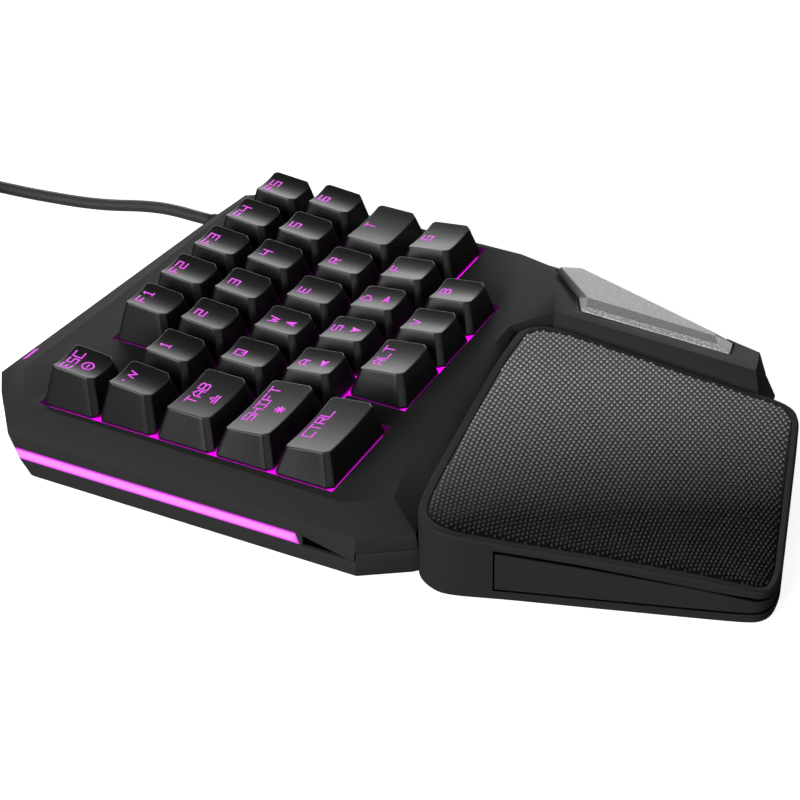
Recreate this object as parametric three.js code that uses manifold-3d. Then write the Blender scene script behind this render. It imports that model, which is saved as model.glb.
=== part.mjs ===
// A left-hand gaming keypad: 29 keys over a lit plate, a thumb key on an arm, a palm rest and a USB cord.
// Millimetres, +Z up. X runs along the key rows to the right and Y away from the user.
import * as THREE from "three";
import { mergeVertices } from "three/addons/utils/BufferGeometryUtils.js";
import Module from "manifold-3d";

const wasm = await Module();
wasm.setup();

// Clearances that many pieces share
const seatGap = 0.3;
const overrun = 1;

// Key field: each row gives the left edge and the width of its keys in key pitches, the nearest row first
const keyPitch = 19.05;
const keyRowShares = [
  { ctrl: [0, 1.75], alt: [2.25, 1.25], v: [3.5, 1], b: [4.5, 1] },
  { shift: [0, 1.75], a: [1.75, 1], s: [2.75, 1], d: [3.75, 1], f: [4.75, 1], g: [5.75, 1.25] },
  { tab: [0, 1.5], q: [1.5, 1], w: [2.5, 1], e: [3.5, 1], r: [4.5, 1], t: [5.5, 1.5] },
  { mark: [0, 1], 1: [1, 1], 2: [2, 1], 3: [3, 1], 4: [4, 1], 5: [5, 1], 6: [6, 1] },
  { esc: [0, 1], f1: [2, 1], f2: [3, 1], f3: [4, 1], f4: [5, 1], f5: [6, 1] },
];
const fieldShares = [7, 5];
const fieldWidth = fieldShares[0] * keyPitch;
const fieldDepth = fieldShares[1] * keyPitch;

// Keycaps: heights of the rows above the skirt, and the rise of each top towards the far side
const capRowHeights = [8.47, 8.47, 8.82, 11.24, 11.24];
const capRiseShares = [-0.12, -0.12, 0.013, 0.082, 0.082];
const capMargin = 0.42;
const capTopSide = 3.12;
const capTopFar = 2.71;
const capTopNear = 2.88;
const capSkirtCorner = 1.81;
const capTopCorner = 1.64;
const capFarCorner = 0.9;
const capWall = 1.4;
const dishDepth = 0.8;
const dishRim = 0.35;
const dishSteps = 6;
const stemWidth = 5.6;
const barrelGap = 0.35;
const barrelWall = 1.2;
const barrelHeight = 3;

// Case: heights are from its lower edge, and the deck is its top face
const deckHeight = 18;
const ridgeHeight = 13;
const seamHeight = 5.9;
const facetSeamHeight = 8.2;
const cornerRake = 7.6;
const deckMarginLeft = 3.4;
const deckMarginRight = 3.2;
const deckMarginNear = 16.2;
const deckMarginFar = 14.95;
const shoulderLeft = 7.8;
const shoulderRight = 6.95;
const shoulderNear = 8.6;
const shoulderFar = 9.6;
const flankBulge = 0.8;
const footBevel = 1.2;
const caseWall = 2.4;
const deckWall = 2.4;
const floorWall = 2;
const wellLip = 0.5;
const ribWall = 1.5;
const collarWall = 1.4;
const plateSink = 4.3;
const plateWall = 1.6;
const plateBorder = 0.6;

// Arm beside the palm: its top falls away from the deck towards the user and to the right
const armWidth = 38.7;
const armReach = 70.8;
const armFallShare = 0.047;
const armRollShare = 0.22;
const armRidgeDrop = 4.7;

// Thumb key
const thumbTravel = 2;
const thumbGap = 0.5;
const thumbWall = 1.8;
const pocketDepth = 10;
const pocketWall = 1.95;
const thumbSkirtLift = 0.4;
const thumbPostWidth = 3.2;
const thumbSwitchWidth = 10;
const thumbTopRise = 2.4;
const thumbTopRollShare = 0.13;
const thumbTopFallShare = 0.0714;

// Layers under the keys: a dome stands a little taller than its key travels
const keyTravel = 3.5;
const domeSlack = 0.1;
const thumbDomeSlack = 0.5;
const boardWall = 1.2;
const backPlateWall = 0.8;
const membraneWall = 0.4;
const domeSheetWall = 0.6;
const domeHeight = keyTravel + domeSlack;
const domeFootRadius = 5.2;
const domeHeadRadius = 3.2;
const domeWall = 0.8;
const domeSides = 8;

// Lights in the case
const stripHeight = 3.1;
const stripInset = 3.2;
const stripNearShare = 0.04;
const stripFarShare = 1.03;
const stripBevel = 2.4;
const wedgeDepth = 1.4;
const cornerLightWidth = 7;
const cornerLightDepth = 2.2;

// Palm rest
const palmGap = 0.5;
const palmWidth = 111.2;
const palmDepth = 107.1;
const palmTuck = 5.3;
const palmHeight = 20.7;
const palmWall = 2.6;
const palmRim = 3.3;
const palmFootBevel = 0.5;
const palmLedge = 2.2;
const ledgeWall = 1.8;
const ledgeHeightNear = 4.6;
const ledgeHeightFar = 12.2;
const carrierWall = 1.6;
const padCrown = 1.2;
const padEdgeDrop = 0.5;
const padSag = 1.6;
const panelWall = 1;
const panelInset = 0.4;
const panelFoot = 3.3;
const panelHead = 3.4;
const panelHeadGap = 1.1;
const panelSideGap = 1.2;
const bridgeMargin = 20;
const bridgeWidth = 66;

// Fasteners and feet
const screwHeadRadius = 2.6;
const screwHeadWall = 1.5;
const screwRadius = 1.2;
const screwLength = 12;
const screwSides = 10;
const screwSocketRadius = 1.1;
const bossRadius = 3;
const bossSides = 12;
const footRadius = 5;
const footProud = 0.8;
const footSunk = 0.6;
const footSides = 16;

// Cord
const cordDiameter = 4;
const cordSides = 8;
const cordHeight = 6;
const cordInset = 15;
const glandRadius = 2.9;
const glandFlange = 0.8;
const glandFlangeWall = 1.2;
const glandClearance = 0.9;
const glandLength = 6;
const coilTurnsPerLayer = 5.25;
const coilMiddleRadius = 22.2;
const coilPitch = 4.5;
const coilStepsPerTurn = 24;
const coilSides = 6;
const coilLead = 8;
const tailLength = 26;
const cordStretchSteps = 40;
const tieWidth = 6;
const tieWall = 0.5;
const plugWidth = 14;
const plugHeight = 8;
const plugLength = 28;
const plugTaper = 2;
const plugBevel = 1;
const shellWidth = 12;
const shellHeight = 4.5;
const shellLength = 12;
const shellWall = 0.5;

// Materials
function finish(color, roughness, metalness = 0) {
  return new THREE.MeshStandardMaterial({ color, roughness, metalness });
}
const finishes = {
  keycap: finish(0x1d1d1f, 0.42),
  case: finish(0x232324, 0.6),
  lowerCase: finish(0x2b2b2d, 0.65),
  glow: finish(0xff3cff, 0.4),
  silver: finish(0xa9a9ab, 0.38, 0.6),
  pad: finish(0x2e2e30, 0.75),
  rubber: finish(0x141415, 0.85),
  dome: finish(0xd9d9d2, 0.6),
  film: finish(0xc9ced2, 0.35),
  steel: finish(0x8d9094, 0.35, 0.9),
  board: finish(0x1f5a38, 0.55),
  braid: finish(0x17171a, 0.8),
};

// Helpers: a loft joins rings of equal count that run anticlockwise seen from above, the lowest first
const spot = (x, y, z = 0) => new THREE.Vector3(x, y, z);
const levelled = (ring, height) => ring.map((p) => spot(p.x, p.y, height));
const lifted = (ring, rise) => ring.map((p) => spot(p.x, p.y, p.z + rise));
const blend = THREE.MathUtils.lerp;

function loft(rings, topPanels) {
  const count = rings[0].length;
  const positions = rings.flat().flatMap((p) => [p.x, p.y, p.z]);
  const index = [];
  rings.slice(1).forEach((_, level) => {
    for (let i = 0; i < count; i += 1) {
      const j = (i + 1) % count;
      const low = level * count;
      const high = low + count;
      index.push(low + i, low + j, high + j, low + i, high + j, high + i);
    }
  });
  const lid = (ring) => THREE.ShapeUtils.triangulateShape(ring.map((p) => new THREE.Vector2(p.x, p.y)), []);
  lid(rings[0]).forEach(([a, b, c]) => index.push(c, b, a));
  const top = (rings.length - 1) * count;
  const fan = (panel) => panel.slice(2).map((_, i) => [panel[0], panel[i + 1], panel[i + 2]]);
  const topFaces = topPanels ? topPanels.flatMap(fan) : lid(rings[rings.length - 1]);
  topFaces.forEach(([a, b, c]) => index.push(top + a, top + b, top + c));
  const geometry = new THREE.BufferGeometry();
  geometry.setAttribute("position", new THREE.Float32BufferAttribute(positions, 3));
  geometry.setIndex(index);
  return solid(geometry);
}

function solid(geometry) {
  const bare = geometry.clone();
  bare.deleteAttribute("normal");
  bare.deleteAttribute("uv");
  const merged = mergeVertices(bare);
  const vertProperties = Float32Array.from(merged.attributes.position.array);
  const triVerts = Uint32Array.from(merged.index.array);
  return new wasm.Manifold(new wasm.Mesh({ numProp: 3, vertProperties, triVerts }));
}

function geometryOf(body) {
  const { vertProperties, triVerts } = body.getMesh();
  const geometry = new THREE.BufferGeometry();
  geometry.setAttribute("position", new THREE.BufferAttribute(vertProperties, 3));
  geometry.setIndex(new THREE.BufferAttribute(triVerts, 1));
  geometry.computeVertexNormals();
  return geometry;
}

// Moves the sides of a ring inwards by a distance, or outwards where it is negative
function inset(ring, distance) {
  const side = (from, to) => new THREE.Vector2(from.y - to.y, to.x - from.x).normalize();
  return ring.map((p, i) => {
    const before = side(ring[(i + ring.length - 1) % ring.length], p);
    const after = side(p, ring[(i + 1) % ring.length]);
    const shift = before.clone().add(after).multiplyScalar(distance / (1 + before.dot(after)));
    return spot(p.x + shift.x, p.y + shift.y, p.z);
  });
}

const prism = (ring, low, high) => loft([levelled(ring, low), levelled(ring, high)]);
const rectangle = (left, right, near, far) =>
  [spot(left, near), spot(right, near), spot(right, far), spot(left, far)];
const block = (left, right, near, far, low, high) => prism(rectangle(left, right, near, far), low, high);
const standing = (p, half, low, high) => block(p.x - half, p.x + half, p.y - half, p.y + half, low, high);

function disc(x, y, low, high, radius, sides, headRadius = radius) {
  const geometry = new THREE.CylinderGeometry(headRadius, radius, high - low, sides);
  geometry.rotateX(Math.PI / 2);
  geometry.translate(x, y, (low + high) / 2);
  return solid(geometry);
}

const joined = (bodies) => bodies.reduce((whole, body) => whole.add(body));
const cut = (body, cutters) => (cutters.length ? body.subtract(joined(cutters)) : body);

// Case outline: shares of the deck's width and depth, anticlockwise from the near-left corner
const deckLeft = -deckMarginLeft;
const deckNear = -deckMarginNear;
const deckWidth = deckMarginLeft + fieldWidth + deckMarginRight;
const deckDepth = deckMarginNear + fieldDepth + deckMarginFar;
const armRidgeShare = 0.805;
const deckShares = [
  [0, 0.085], [0.058, 0], [0.147, 0.024], [0.251, 0.046], [0.389, 0.074], [0.637, 0.069], [0.712, 0.069],
  [armRidgeShare, 0], [0.887, 0.041], [0.958, 0.115], [0.993, 0.185], [1, 0.903], [0.935, 0.947], [0.759, 0.96],
  [0.41, 0.977], [0.116, 1], [0.008, 0.918],
];
const ridgeLeft = deckLeft - shoulderLeft;
const ridgeNear = deckNear - shoulderNear;
const ridgeWidth = shoulderLeft + deckWidth + shoulderRight;
const ridgeDepth = shoulderNear + deckDepth + shoulderFar;
// The corners of the ridge that end in 1 follow the arm's top face
const ridgeShares = [
  [0.005, 0.086], [0.0614, -0.0052], [0.169, 0.049], [0.266, 0.068], [0.396, 0.084], [0.628, 0.1], [0.699, 0.104],
  [0.803, 0.024, 1], [0.88, 0.062, 1], [0.951, 0.13, 1], [1, 0.182, 1], [1, 0.863], [0.961, 0.927], [0.803, 0.945],
  [0.467, 0.974], [0.164, 1], [0, 0.86],
];
const armRight = ridgeLeft + ridgeWidth;
const armLeft = armRight - armWidth;
const armNear = deckNear - armReach;
const armRidgeLeft = deckLeft + armRidgeShare * deckWidth;

// Height of the arm's top face at a place
const armTop = (x, y) => deckHeight - armFallShare * (deckNear - y) - armRollShare * (x - armRidgeLeft);

const deckSpot = ([x, y]) => spot(deckLeft + x * deckWidth, deckNear + y * deckDepth, deckHeight);
const deckRing = deckShares.map(deckSpot);
const ridgeRing = ridgeShares.map(([x, y, armShare = 0]) => {
  const place = spot(ridgeLeft + x * ridgeWidth, ridgeNear + y * ridgeDepth);
  return place.setZ(blend(ridgeHeight, armTop(place.x, place.y), armShare));
});
const ridgeFarthest = ridgeRing.reduce((far, p) => (p.y > far.y ? p : far));
// The far-left corner rakes back towards its foot
const flankRing = inset(ridgeRing, -flankBulge);
function raked(ring, share) {
  const corner = ring[ring.length - 1].clone().add(spot(0, -cornerRake * share));
  return [...ring.slice(0, -1), corner];
}
const seamRing = levelled(raked(flankRing, 1 - seamHeight / ridgeHeight), seamHeight);
const footRing = levelled(raked(flankRing, 1), footBevel);
const ridgeDropShare = 0.1;
const ridgeDrop = caseWall * ((deckHeight - ridgeHeight) / (shoulderLeft + flankBulge) + ridgeDropShare);

const blockOuter = loft([
  levelled(inset(footRing, footBevel), 0),
  footRing,
  seamRing,
  ridgeRing,
  deckRing,
]);
const blockInner = loft([
  levelled(inset(footRing, caseWall), floorWall),
  inset(seamRing, caseWall),
  lifted(inset(ridgeRing, caseWall), -ridgeDrop),
  lifted(inset(deckRing, deckWall / 3), -deckWall),
]);

// Arm: shares of its width and reach, with the foot, the flank and the top edge of each corner
const armPlace = ([x, y]) => spot(armLeft + x * armWidth, armNear + y * armReach);
const armFootShares = [[0.018, 0.007], [0.395, 0.048], [1, 1.158], [1, 1.255], [0.78, 1.342], [0, 0.98]];
const armFlankShares = [[0, 0.049], [0.457, 0.106], [1, 1.158], [1, 1.255], [0.78, 1.342], [0, 0.98]];
const armTopShares = [[0.155, 0.099], [0.509, 0.151], [1, 1.158], [1, 1.255], [0.78, 1.342], [0.116, 1]];
const armTopRing = armTopShares.map(armPlace).map((p) => spot(p.x, p.y, armTop(p.x, p.y)));
const armFlankRing = armFlankShares.map(armPlace).map((p, i) => {
  const inner = i === 0 || i === armFlankShares.length - 1;
  return spot(p.x, p.y, inner ? armTopRing[i].z - armRidgeDrop : seamHeight);
});
const armFootRing = armFootShares.map(armPlace);
const armOuter = loft([
  levelled(inset(armFootRing, footBevel), 0),
  levelled(armFootRing, footBevel),
  armFlankRing,
  armTopRing,
]);
const armRoom = (wall) => loft([
  levelled(inset(armFootRing, wall), floorWall),
  lifted(inset(armFlankRing, wall), -ridgeDrop),
  lifted(inset(armTopRing, wall), -deckWall),
]);
const armInner = armRoom(caseWall);

// Thumb key: shares of the arm's width and reach at its foot, and the edge of its top face
const thumbShares = [
  [0.315, 0.246], [0.525, 0.274], [0.58, 0.322], [0.967, 1.095], [0.94, 1.192], [0.537, 0.99], [0.292, 0.922],
];
const thumbTopShares = [
  [0.39, 0.315], [0.491, 0.347], [0.538, 0.363], [0.907, 1.066], [0.811, 1.146], [0.452, 0.932],
  [0.333, 0.908],
];
const pocketFloorHeight = deckHeight - pocketDepth;
const pocketUnderside = pocketFloorHeight - pocketWall;
const thumbSkirtHeight = pocketFloorHeight + thumbTravel + thumbSkirtLift;
const switchBoardLow = pocketFloorHeight + seatGap;
const thumbDomeLow = switchBoardLow + boardWall + seatGap;
const thumbCeilingHeight = thumbDomeLow + thumbTravel + thumbDomeSlack + seatGap;
const thumbRing = thumbShares.map(armPlace);
const thumbCrease = armPlace(thumbTopShares[5]);
const thumbTopRing = thumbTopShares.map(armPlace).map((p) => {
  const roll = thumbTopRollShare * Math.max(p.x - thumbCrease.x, 0);
  const fall = thumbTopFallShare * (thumbCrease.y - p.y);
  const crest = armTop(thumbCrease.x, thumbCrease.y) + thumbTopRise;
  return spot(p.x, p.y, crest - roll - fall);
});
const thumbKey = loft(
  [
    levelled(thumbRing, thumbSkirtHeight),
    thumbRing.map((p) => spot(p.x, p.y, Math.max(armTop(p.x, p.y), thumbSkirtHeight + seatGap))),
    thumbTopRing,
  ],
  [[0, 1, 5, 6], [5, 1, 2, 3, 4]],
).subtract(prism(inset(thumbRing, thumbWall), thumbSkirtHeight - overrun, thumbCeilingHeight));
const pocketRing = inset(thumbRing, -thumbGap);
const pocket = prism(pocketRing, pocketFloorHeight, deckHeight + overrun);
const pocketTub = prism(inset(pocketRing, -caseWall), pocketUnderside, deckHeight);
const pocketDip = pocketTub.intersect(armRoom(caseWall + seatGap));

// Key well: the outline of all key cells in key pitches, grown by its lip
const wellShares = [
  [0, 0], [1.75, 0], [1.75, 1], [2.25, 1], [2.25, 0], [5.5, 0], [5.5, 1], [7, 1],
  [7, 5], [2, 5], [2, 4], [1, 4], [1, 5], [0, 5],
];
const wellRing = inset(wellShares.map(([x, y]) => spot(x * keyPitch, y * keyPitch)), -wellLip);
const plateTop = deckHeight - plateSink;
const plateLow = plateTop - plateWall;

const keys = keyRowShares.flatMap((row, r) =>
  Object.entries(row).map(([label, [left, width]]) => ({
    name: `key_${label}`,
    row: r,
    left: left * keyPitch,
    right: (left + width) * keyPitch,
    near: r * keyPitch,
    far: (r + 1) * keyPitch,
    x: (left + width / 2) * keyPitch,
    y: (r + 0.5) * keyPitch,
  })),
);

// Layers from the floor up
const boardLow = floorWall + seatGap;
const backPlateLow = boardLow + boardWall + seatGap;
const membraneLow = backPlateLow + backPlateWall + seatGap;
const domeSheetLow = membraneLow + membraneWall + seatGap;
const domeFootHeight = domeSheetLow + domeSheetWall;
const domeTopHeight = domeFootHeight + domeHeight;
const stemLow = domeTopHeight + seatGap;

// Keycap: a hollow tapered cap with a dished top and a stem
function ringOfCap(left, right, near, far, corner) {
  return [
    spot(left + corner, near), spot(right - corner, near), spot(right, near + corner),
    spot(right, far - capFarCorner), spot(right - capFarCorner, far), spot(left + capFarCorner, far),
    spot(left, far - capFarCorner), spot(left, near + corner),
  ];
}

function keycap(key) {
  const rise = capRiseShares[key.row];
  const low = deckHeight;
  const topAt = (y) => low + capRowHeights[key.row] + rise * (y - key.y);
  const skirt = ringOfCap(
    key.left + capMargin, key.right - capMargin, key.near + capMargin, key.far - capMargin, capSkirtCorner,
  );
  const topLeft = key.left + capTopSide;
  const topRight = key.right - capTopSide;
  const edge = ringOfCap(topLeft, topRight, key.near + capTopNear, key.far - capTopFar, capTopCorner);
  const outer = loft([levelled(skirt, low), edge.map((p) => spot(p.x, p.y, topAt(p.y)))]);

  const half = (topRight - topLeft) / 2 - dishRim;
  const bow = (half * half + dishDepth * dishDepth) / (2 * dishDepth);
  const sweep = Math.asin(half / bow);
  const bowl = Array.from({ length: dishSteps + 1 }, (_, i) => {
    const angle = blend(-sweep, sweep, i / dishSteps);
    return new THREE.Vector2(bow * Math.sin(angle), bow - dishDepth - bow * Math.cos(angle));
  });
  const lid = [half, -half].map((x) => new THREE.Vector2(x, capWall));
  const profile = new THREE.Shape([...bowl, ...lid]);
  const dish = new THREE.ExtrudeGeometry(profile, { depth: keyPitch, bevelEnabled: false, curveSegments: 1 });
  dish.translate(0, 0, -keyPitch / 2);
  dish.rotateX(Math.PI / 2);
  dish.rotateX(Math.atan(rise));
  dish.translate(key.x, key.y, topAt(key.y));

  const ceiling = Math.min(topAt(key.near), topAt(key.far)) - dishDepth - capWall;
  const room = (margin, share) => {
    const lean = (side, top) => blend(side, top, share) + margin;
    return rectangle(
      key.left + lean(capMargin, capTopSide), key.right - lean(capMargin, capTopSide),
      key.near + lean(capMargin, capTopNear), key.far - lean(capMargin, capTopFar),
    );
  };
  const roofShare = (ceiling - low) / capRowHeights[key.row];
  const hollow = loft([
    levelled(room(capWall, 0), low - overrun),
    levelled(room(capWall, roofShare), ceiling),
  ]);
  const stem = standing(key, stemWidth / 2, stemLow, ceiling + seatGap);
  return outer.subtract(solid(dish)).subtract(hollow).add(stem);
}

function keyPlate() {
  const holeHalf = stemWidth / 2 + barrelGap;
  const outline = inset(wellRing, -collarWall - plateBorder);
  const barrelTop = plateTop + barrelHeight;
  const barrels = keys.map((key) => standing(key, holeHalf + barrelWall, plateLow, barrelTop));
  const holes = keys.map((key) => standing(key, holeHalf, plateLow - overrun, barrelTop + overrun));
  return cut(joined([prism(outline, plateLow, plateTop), ...barrels]), holes);
}

// The sheets under the keys share one outline, which leaves the case posts free
const sheetShares = [[0, 0], [5.5, 0], [5.5, 1], [7, 1], [7, 5], [0, 5]];
const sheetRing = inset(sheetShares.map(([x, y]) => spot(x * keyPitch, y * keyPitch)), -wellLip);

function domeSheet() {
  const sheet = prism(sheetRing, domeSheetLow, domeFootHeight);
  const domeLow = domeFootHeight - domeSheetWall / 2;
  const domes = keys.map((key) =>
    disc(key.x, key.y, domeLow, domeTopHeight, domeFootRadius, domeSides, domeHeadRadius));
  const hollows = keys.map((key) =>
    disc(
      key.x, key.y, domeSheetLow - domeWall, domeTopHeight - domeWall,
      domeFootRadius - domeWall / 2, domeSides, domeHeadRadius - domeWall,
    ));
  return cut(joined([sheet, ...domes]), hollows);
}

// Case screws: shares of the deck's width and depth, each with a boss in the top case and a post below it
const screwShares = [[0.06, 0.945], [0.88, 0.945], [0.096, 0.062], [0.844, 0.128]];
const screwSpots = screwShares.map(deckSpot);
const screwSeat = screwHeadWall + seatGap;
const postRadius = screwHeadRadius + 2 * seatGap;

function screw(place, length) {
  const tip = screwRadius / 2;
  const profile = [
    [0, seatGap + screwSocketRadius], [screwSocketRadius, seatGap], [screwHeadRadius, seatGap],
    [screwHeadRadius, screwSeat], [screwRadius, screwSeat], [screwRadius, length - tip],
    [tip, length], [0, length],
  ];
  const geometry = new THREE.LatheGeometry(profile.map(([r, h]) => new THREE.Vector2(r, h)), screwSides);
  geometry.rotateX(Math.PI / 2);
  geometry.translate(place.x, place.y, 0);
  return solid(geometry);
}

// Cord gland in the far wall, at the seam
const cordX = armRight - cordInset;
const wallAt = (ring, x) => {
  const sides = ring.map((p, i) => [p, ring[(i + 1) % ring.length]]);
  const crossings = sides.filter(([a, b]) => (a.x - x) * (b.x - x) <= 0);
  return Math.max(...crossings.map(([a, b]) => blend(a.y, b.y, (x - a.x) / (b.x - a.x))));
};
const cordWall = wallAt(seamRing, cordX);
const glandEnd = cordWall + glandLength;

function alongY(profile, sides, start) {
  const points = profile.map(([radius, along]) => new THREE.Vector2(radius, along));
  const geometry = new THREE.LatheGeometry(points, sides);
  geometry.translate(0, start, 0);
  return geometry;
}

function gland() {
  const inside = caseWall + glandClearance;
  const profile = [
    [0, -inside - glandFlangeWall], [glandRadius + glandFlange, -inside - glandFlangeWall],
    [glandRadius + glandFlange, -inside], [glandRadius, -inside], [glandRadius, glandFlangeWall],
    [(glandRadius + cordDiameter / 2) / 2, glandLength], [0, glandLength],
  ];
  const geometry = alongY(profile, bossSides, cordWall);
  geometry.translate(cordX, 0, cordHeight);
  return solid(geometry);
}
const glandHole = (() => {
  const holeRadius = glandRadius + seatGap;
  const hole = new THREE.CylinderGeometry(holeRadius, holeRadius, 2 * (caseWall + overrun), bossSides);
  hole.translate(cordX, cordWall, cordHeight);
  return solid(hole);
})();

// Light strip: a bar flush with the left wall, over the seam, with a slanted near end
const stripNear = stripNearShare * fieldDepth;
const stripFar = stripFarShare * fieldDepth;
const stripLeft = ridgeLeft - flankBulge - overrun;
const stripRight = ridgeLeft - flankBulge + stripInset;
const stripTop = seamHeight + stripHeight;

function stripBar(gap) {
  const low = seamHeight - overrun;
  const high = stripTop + gap;
  const side = (x) => [
    spot(x, stripNear - gap, low), spot(x, stripFar + gap, low),
    spot(x, stripFar + gap, high), spot(x, stripNear + stripBevel - gap, high),
  ];
  return hullOfSides(side(stripLeft), side(stripRight));
}

// A prism between two like polygons, one on each side of it
function hullOfSides(left, right) {
  const count = left.length;
  const positions = [...left, ...right].flatMap((p) => [p.x, p.y, p.z]);
  const index = [];
  for (let i = 1; i < count - 1; i += 1) {
    index.push(0, i + 1, i, count, count + i, count + i + 1);
  }
  for (let i = 0; i < count; i += 1) {
    const j = (i + 1) % count;
    index.push(i, j, count + j, i, count + j, count + i);
  }
  const geometry = new THREE.BufferGeometry();
  geometry.setAttribute("position", new THREE.Float32BufferAttribute(positions, 3));
  geometry.setIndex(index);
  return solid(geometry);
}

// The seam opens into a tapered groove between the strip and the near-left corner
function seamWedge() {
  const nearest = seamRing[0].y + wedgeDepth;
  const side = (x) => [
    spot(x, nearest, seamHeight - overrun), spot(x, stripNear - seatGap, seamHeight - overrun),
    spot(x, stripNear - seatGap, stripTop), spot(x, nearest, seamHeight),
  ];
  return hullOfSides(side(stripLeft), side(ridgeLeft - flankBulge + wedgeDepth));
}

// Corner light: a slot through the far bevel
const cornerLightRing = (gap) => {
  const start = ridgeFarthest;
  const left = start.x + cornerLightWidth;
  const far = start.y - cornerLightDepth;
  return inset(rectangle(left, left + cornerLightWidth, far - cornerLightDepth, far), gap);
};

// Case shells
const caseOuter = blockOuter.add(armOuter);
const caseInner = blockInner.add(armInner.subtract(pocketTub));
const caseSkin = caseOuter.subtract(caseInner);
const wide = 2 * (ridgeWidth + armReach);
const above = (height) => block(-wide, wide, -wide, wide, height, wide);
const below = (height) => block(-wide, wide, -wide, wide, -wide, height);
const cornerLightLow = ridgeHeight - caseWall;

// The seam steps up on the near facet, between the near-left corner and the palm rest
function facetStep(gap) {
  const right = seamRing[1].x + caseWall - gap;
  return block(-wide, right, -wide, seamRing[0].y - gap, seamHeight - seatGap, facetSeamHeight - gap);
}

function topCase() {
  const collar = prism(inset(wellRing, -collarWall), plateTop + seatGap, deckHeight - deckWall / 2);
  const bosses = screwSpots.map((p) => disc(p.x, p.y, seamHeight, deckHeight, bossRadius, bossSides));
  const holes = screwSpots.map((p) =>
    disc(p.x, p.y, seamHeight - overrun, screwLength + overrun, screwRadius + seatGap, bossSides));
  const inwards = joined([collar, ...bosses]).intersect(caseOuter);
  return cut(caseSkin.subtract(prism(wellRing, seamHeight, deckHeight)).add(inwards), [
    prism(wellRing, plateTop, deckHeight + overrun), prism(cornerLightRing(0), cornerLightLow, deckHeight),
    pocket, ...thumbPosts(seatGap, pocketUnderside - overrun), stripBar(seatGap), seamWedge(),
    facetStep(-seatGap / 2), glandHole, ...holes,
  ]).intersect(above(seamHeight + seatGap / 2).add(pocketDip));
}

// Two guide posts under the thumb key run through the pocket's floor
const thumbPostShares = [[0.55, 0.55], [0.62, 0.85]];
function thumbPosts(gap, low) {
  const half = thumbPostWidth / 2 + gap;
  return thumbPostShares.map(armPlace).map((p) => standing(p, half, low, thumbCeilingHeight + gap));
}

// Palm rest: shares of its width, depth and height at the rim, anticlockwise from the far-left corner
const palmRight = armLeft - palmGap;
const palmLeft = palmRight - palmWidth;
const palmNear = deckNear + palmTuck - palmDepth;
const palmShares = [
  [0.021, 0.825, 0.995], [0, 0.775, 1], [0.008, 0.727, 0.966], [0.05, 0.601, 0.879], [0.108, 0.411, 0.787],
  [0.187, 0.155, 0.633], [0.215, 0.066, 0.551], [0.242, 0.031, 0.498], [0.292, 0.006, 0.454],
  [0.359, 0.01, 0.444], [0.939, 0.182, 0.502], [0.983, 0.21, 0.517], [1, 0.255, 0.531], [1, 0.88, 0.783],
  [0.979, 0.952, 0.821], [0.921, 0.991, 0.85], [0.776, 0.987, 0.879], [0.629, 0.973, 0.903],
  [0.334, 0.939, 0.947], [0.198, 0.911, 0.971], [0.094, 0.874, 0.986], [0.049, 0.853, 0.99],
];
const palmSpot = ([x, y, z = 0]) => spot(palmLeft + x * palmWidth, palmNear + y * palmDepth, z * palmHeight);
const palmRing = palmShares.map(palmSpot);
const ledgeAt = (y) => blend(ledgeHeightNear, ledgeHeightFar, (y - palmNear) / palmDepth);
const padOutline = smoothed(inset(palmRing, palmRim));
const onLedge = (ring, rise) => ring.map((p) => spot(p.x, p.y, ledgeAt(p.y) + rise));
const panelStartIndex = 3;
const panelEndIndex = 9;

// A strip of the palm wall between two depths from its face, along part of the outline
function panelStrip(outerDepth, innerDepth, low, highDrop, trim) {
  const outer = inset(palmRing, outerDepth).slice(panelStartIndex, panelEndIndex + 1);
  const inner = inset(palmRing, innerDepth).slice(panelStartIndex, panelEndIndex + 1);
  [outer, inner].forEach((path) => {
    const last = path.length - 1;
    path[0] = slid(path[0], path[1], trim);
    path[last] = slid(path[last], path[last - 1], trim);
  });
  const ring = [...outer, ...inner.reverse()];
  return loft([levelled(ring, low), lifted(ring, -highDrop)]);
}
const slid = (from, to, distance) => from.clone().add(to.clone().sub(from).setLength(distance));

// The bottom case runs on under the palm rest over a bridge
const bridgeLeft = palmLeft + bridgeMargin;
const bridgeNear = deckNear - palmTuck - 2 * caseWall;
const bridge = (gap, high) =>
  block(bridgeLeft - gap, bridgeLeft + bridgeWidth + gap, bridgeNear - gap, caseWall + gap, 0, high);

function palmCover() {
  const outer = loft([
    levelled(inset(palmRing, palmFootBevel), 0), levelled(palmRing, palmFootBevel),
    lifted(palmRing, -palmFootBevel), inset(palmRing, palmFootBevel),
  ]);
  const pocketHole = loft([onLedge(padOutline, 0), levelled(padOutline, palmHeight + overrun)]);
  const ledgeRing = inset(palmRing, palmRim + palmLedge);
  const opening = loft([onLedge(ledgeRing, -ledgeWall - overrun), onLedge(ledgeRing, overrun)]);
  const cavityRing = inset(palmRing, palmWall);
  const cavity = loft([levelled(cavityRing, -overrun), onLedge(cavityRing, -ledgeWall)]);
  const recessDepth = panelInset + panelWall + seatGap;
  return cut(outer, [
    pocketHole, opening, cavity, bridge(seatGap, floorWall + seatGap),
    panelStrip(-overrun, recessDepth, panelFoot - seatGap, panelHead - panelHeadGap, -panelSideGap),
  ]);
}

// Palm carrier: a plate on the cover's ledge, with a post that one screw from below draws down
const palmScrewShares = [0.5, 0.5];
const palmScrewSpot = palmSpot(palmScrewShares);
const palmScrewTop = ledgeAt(palmScrewSpot.y) + seatGap;

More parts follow.
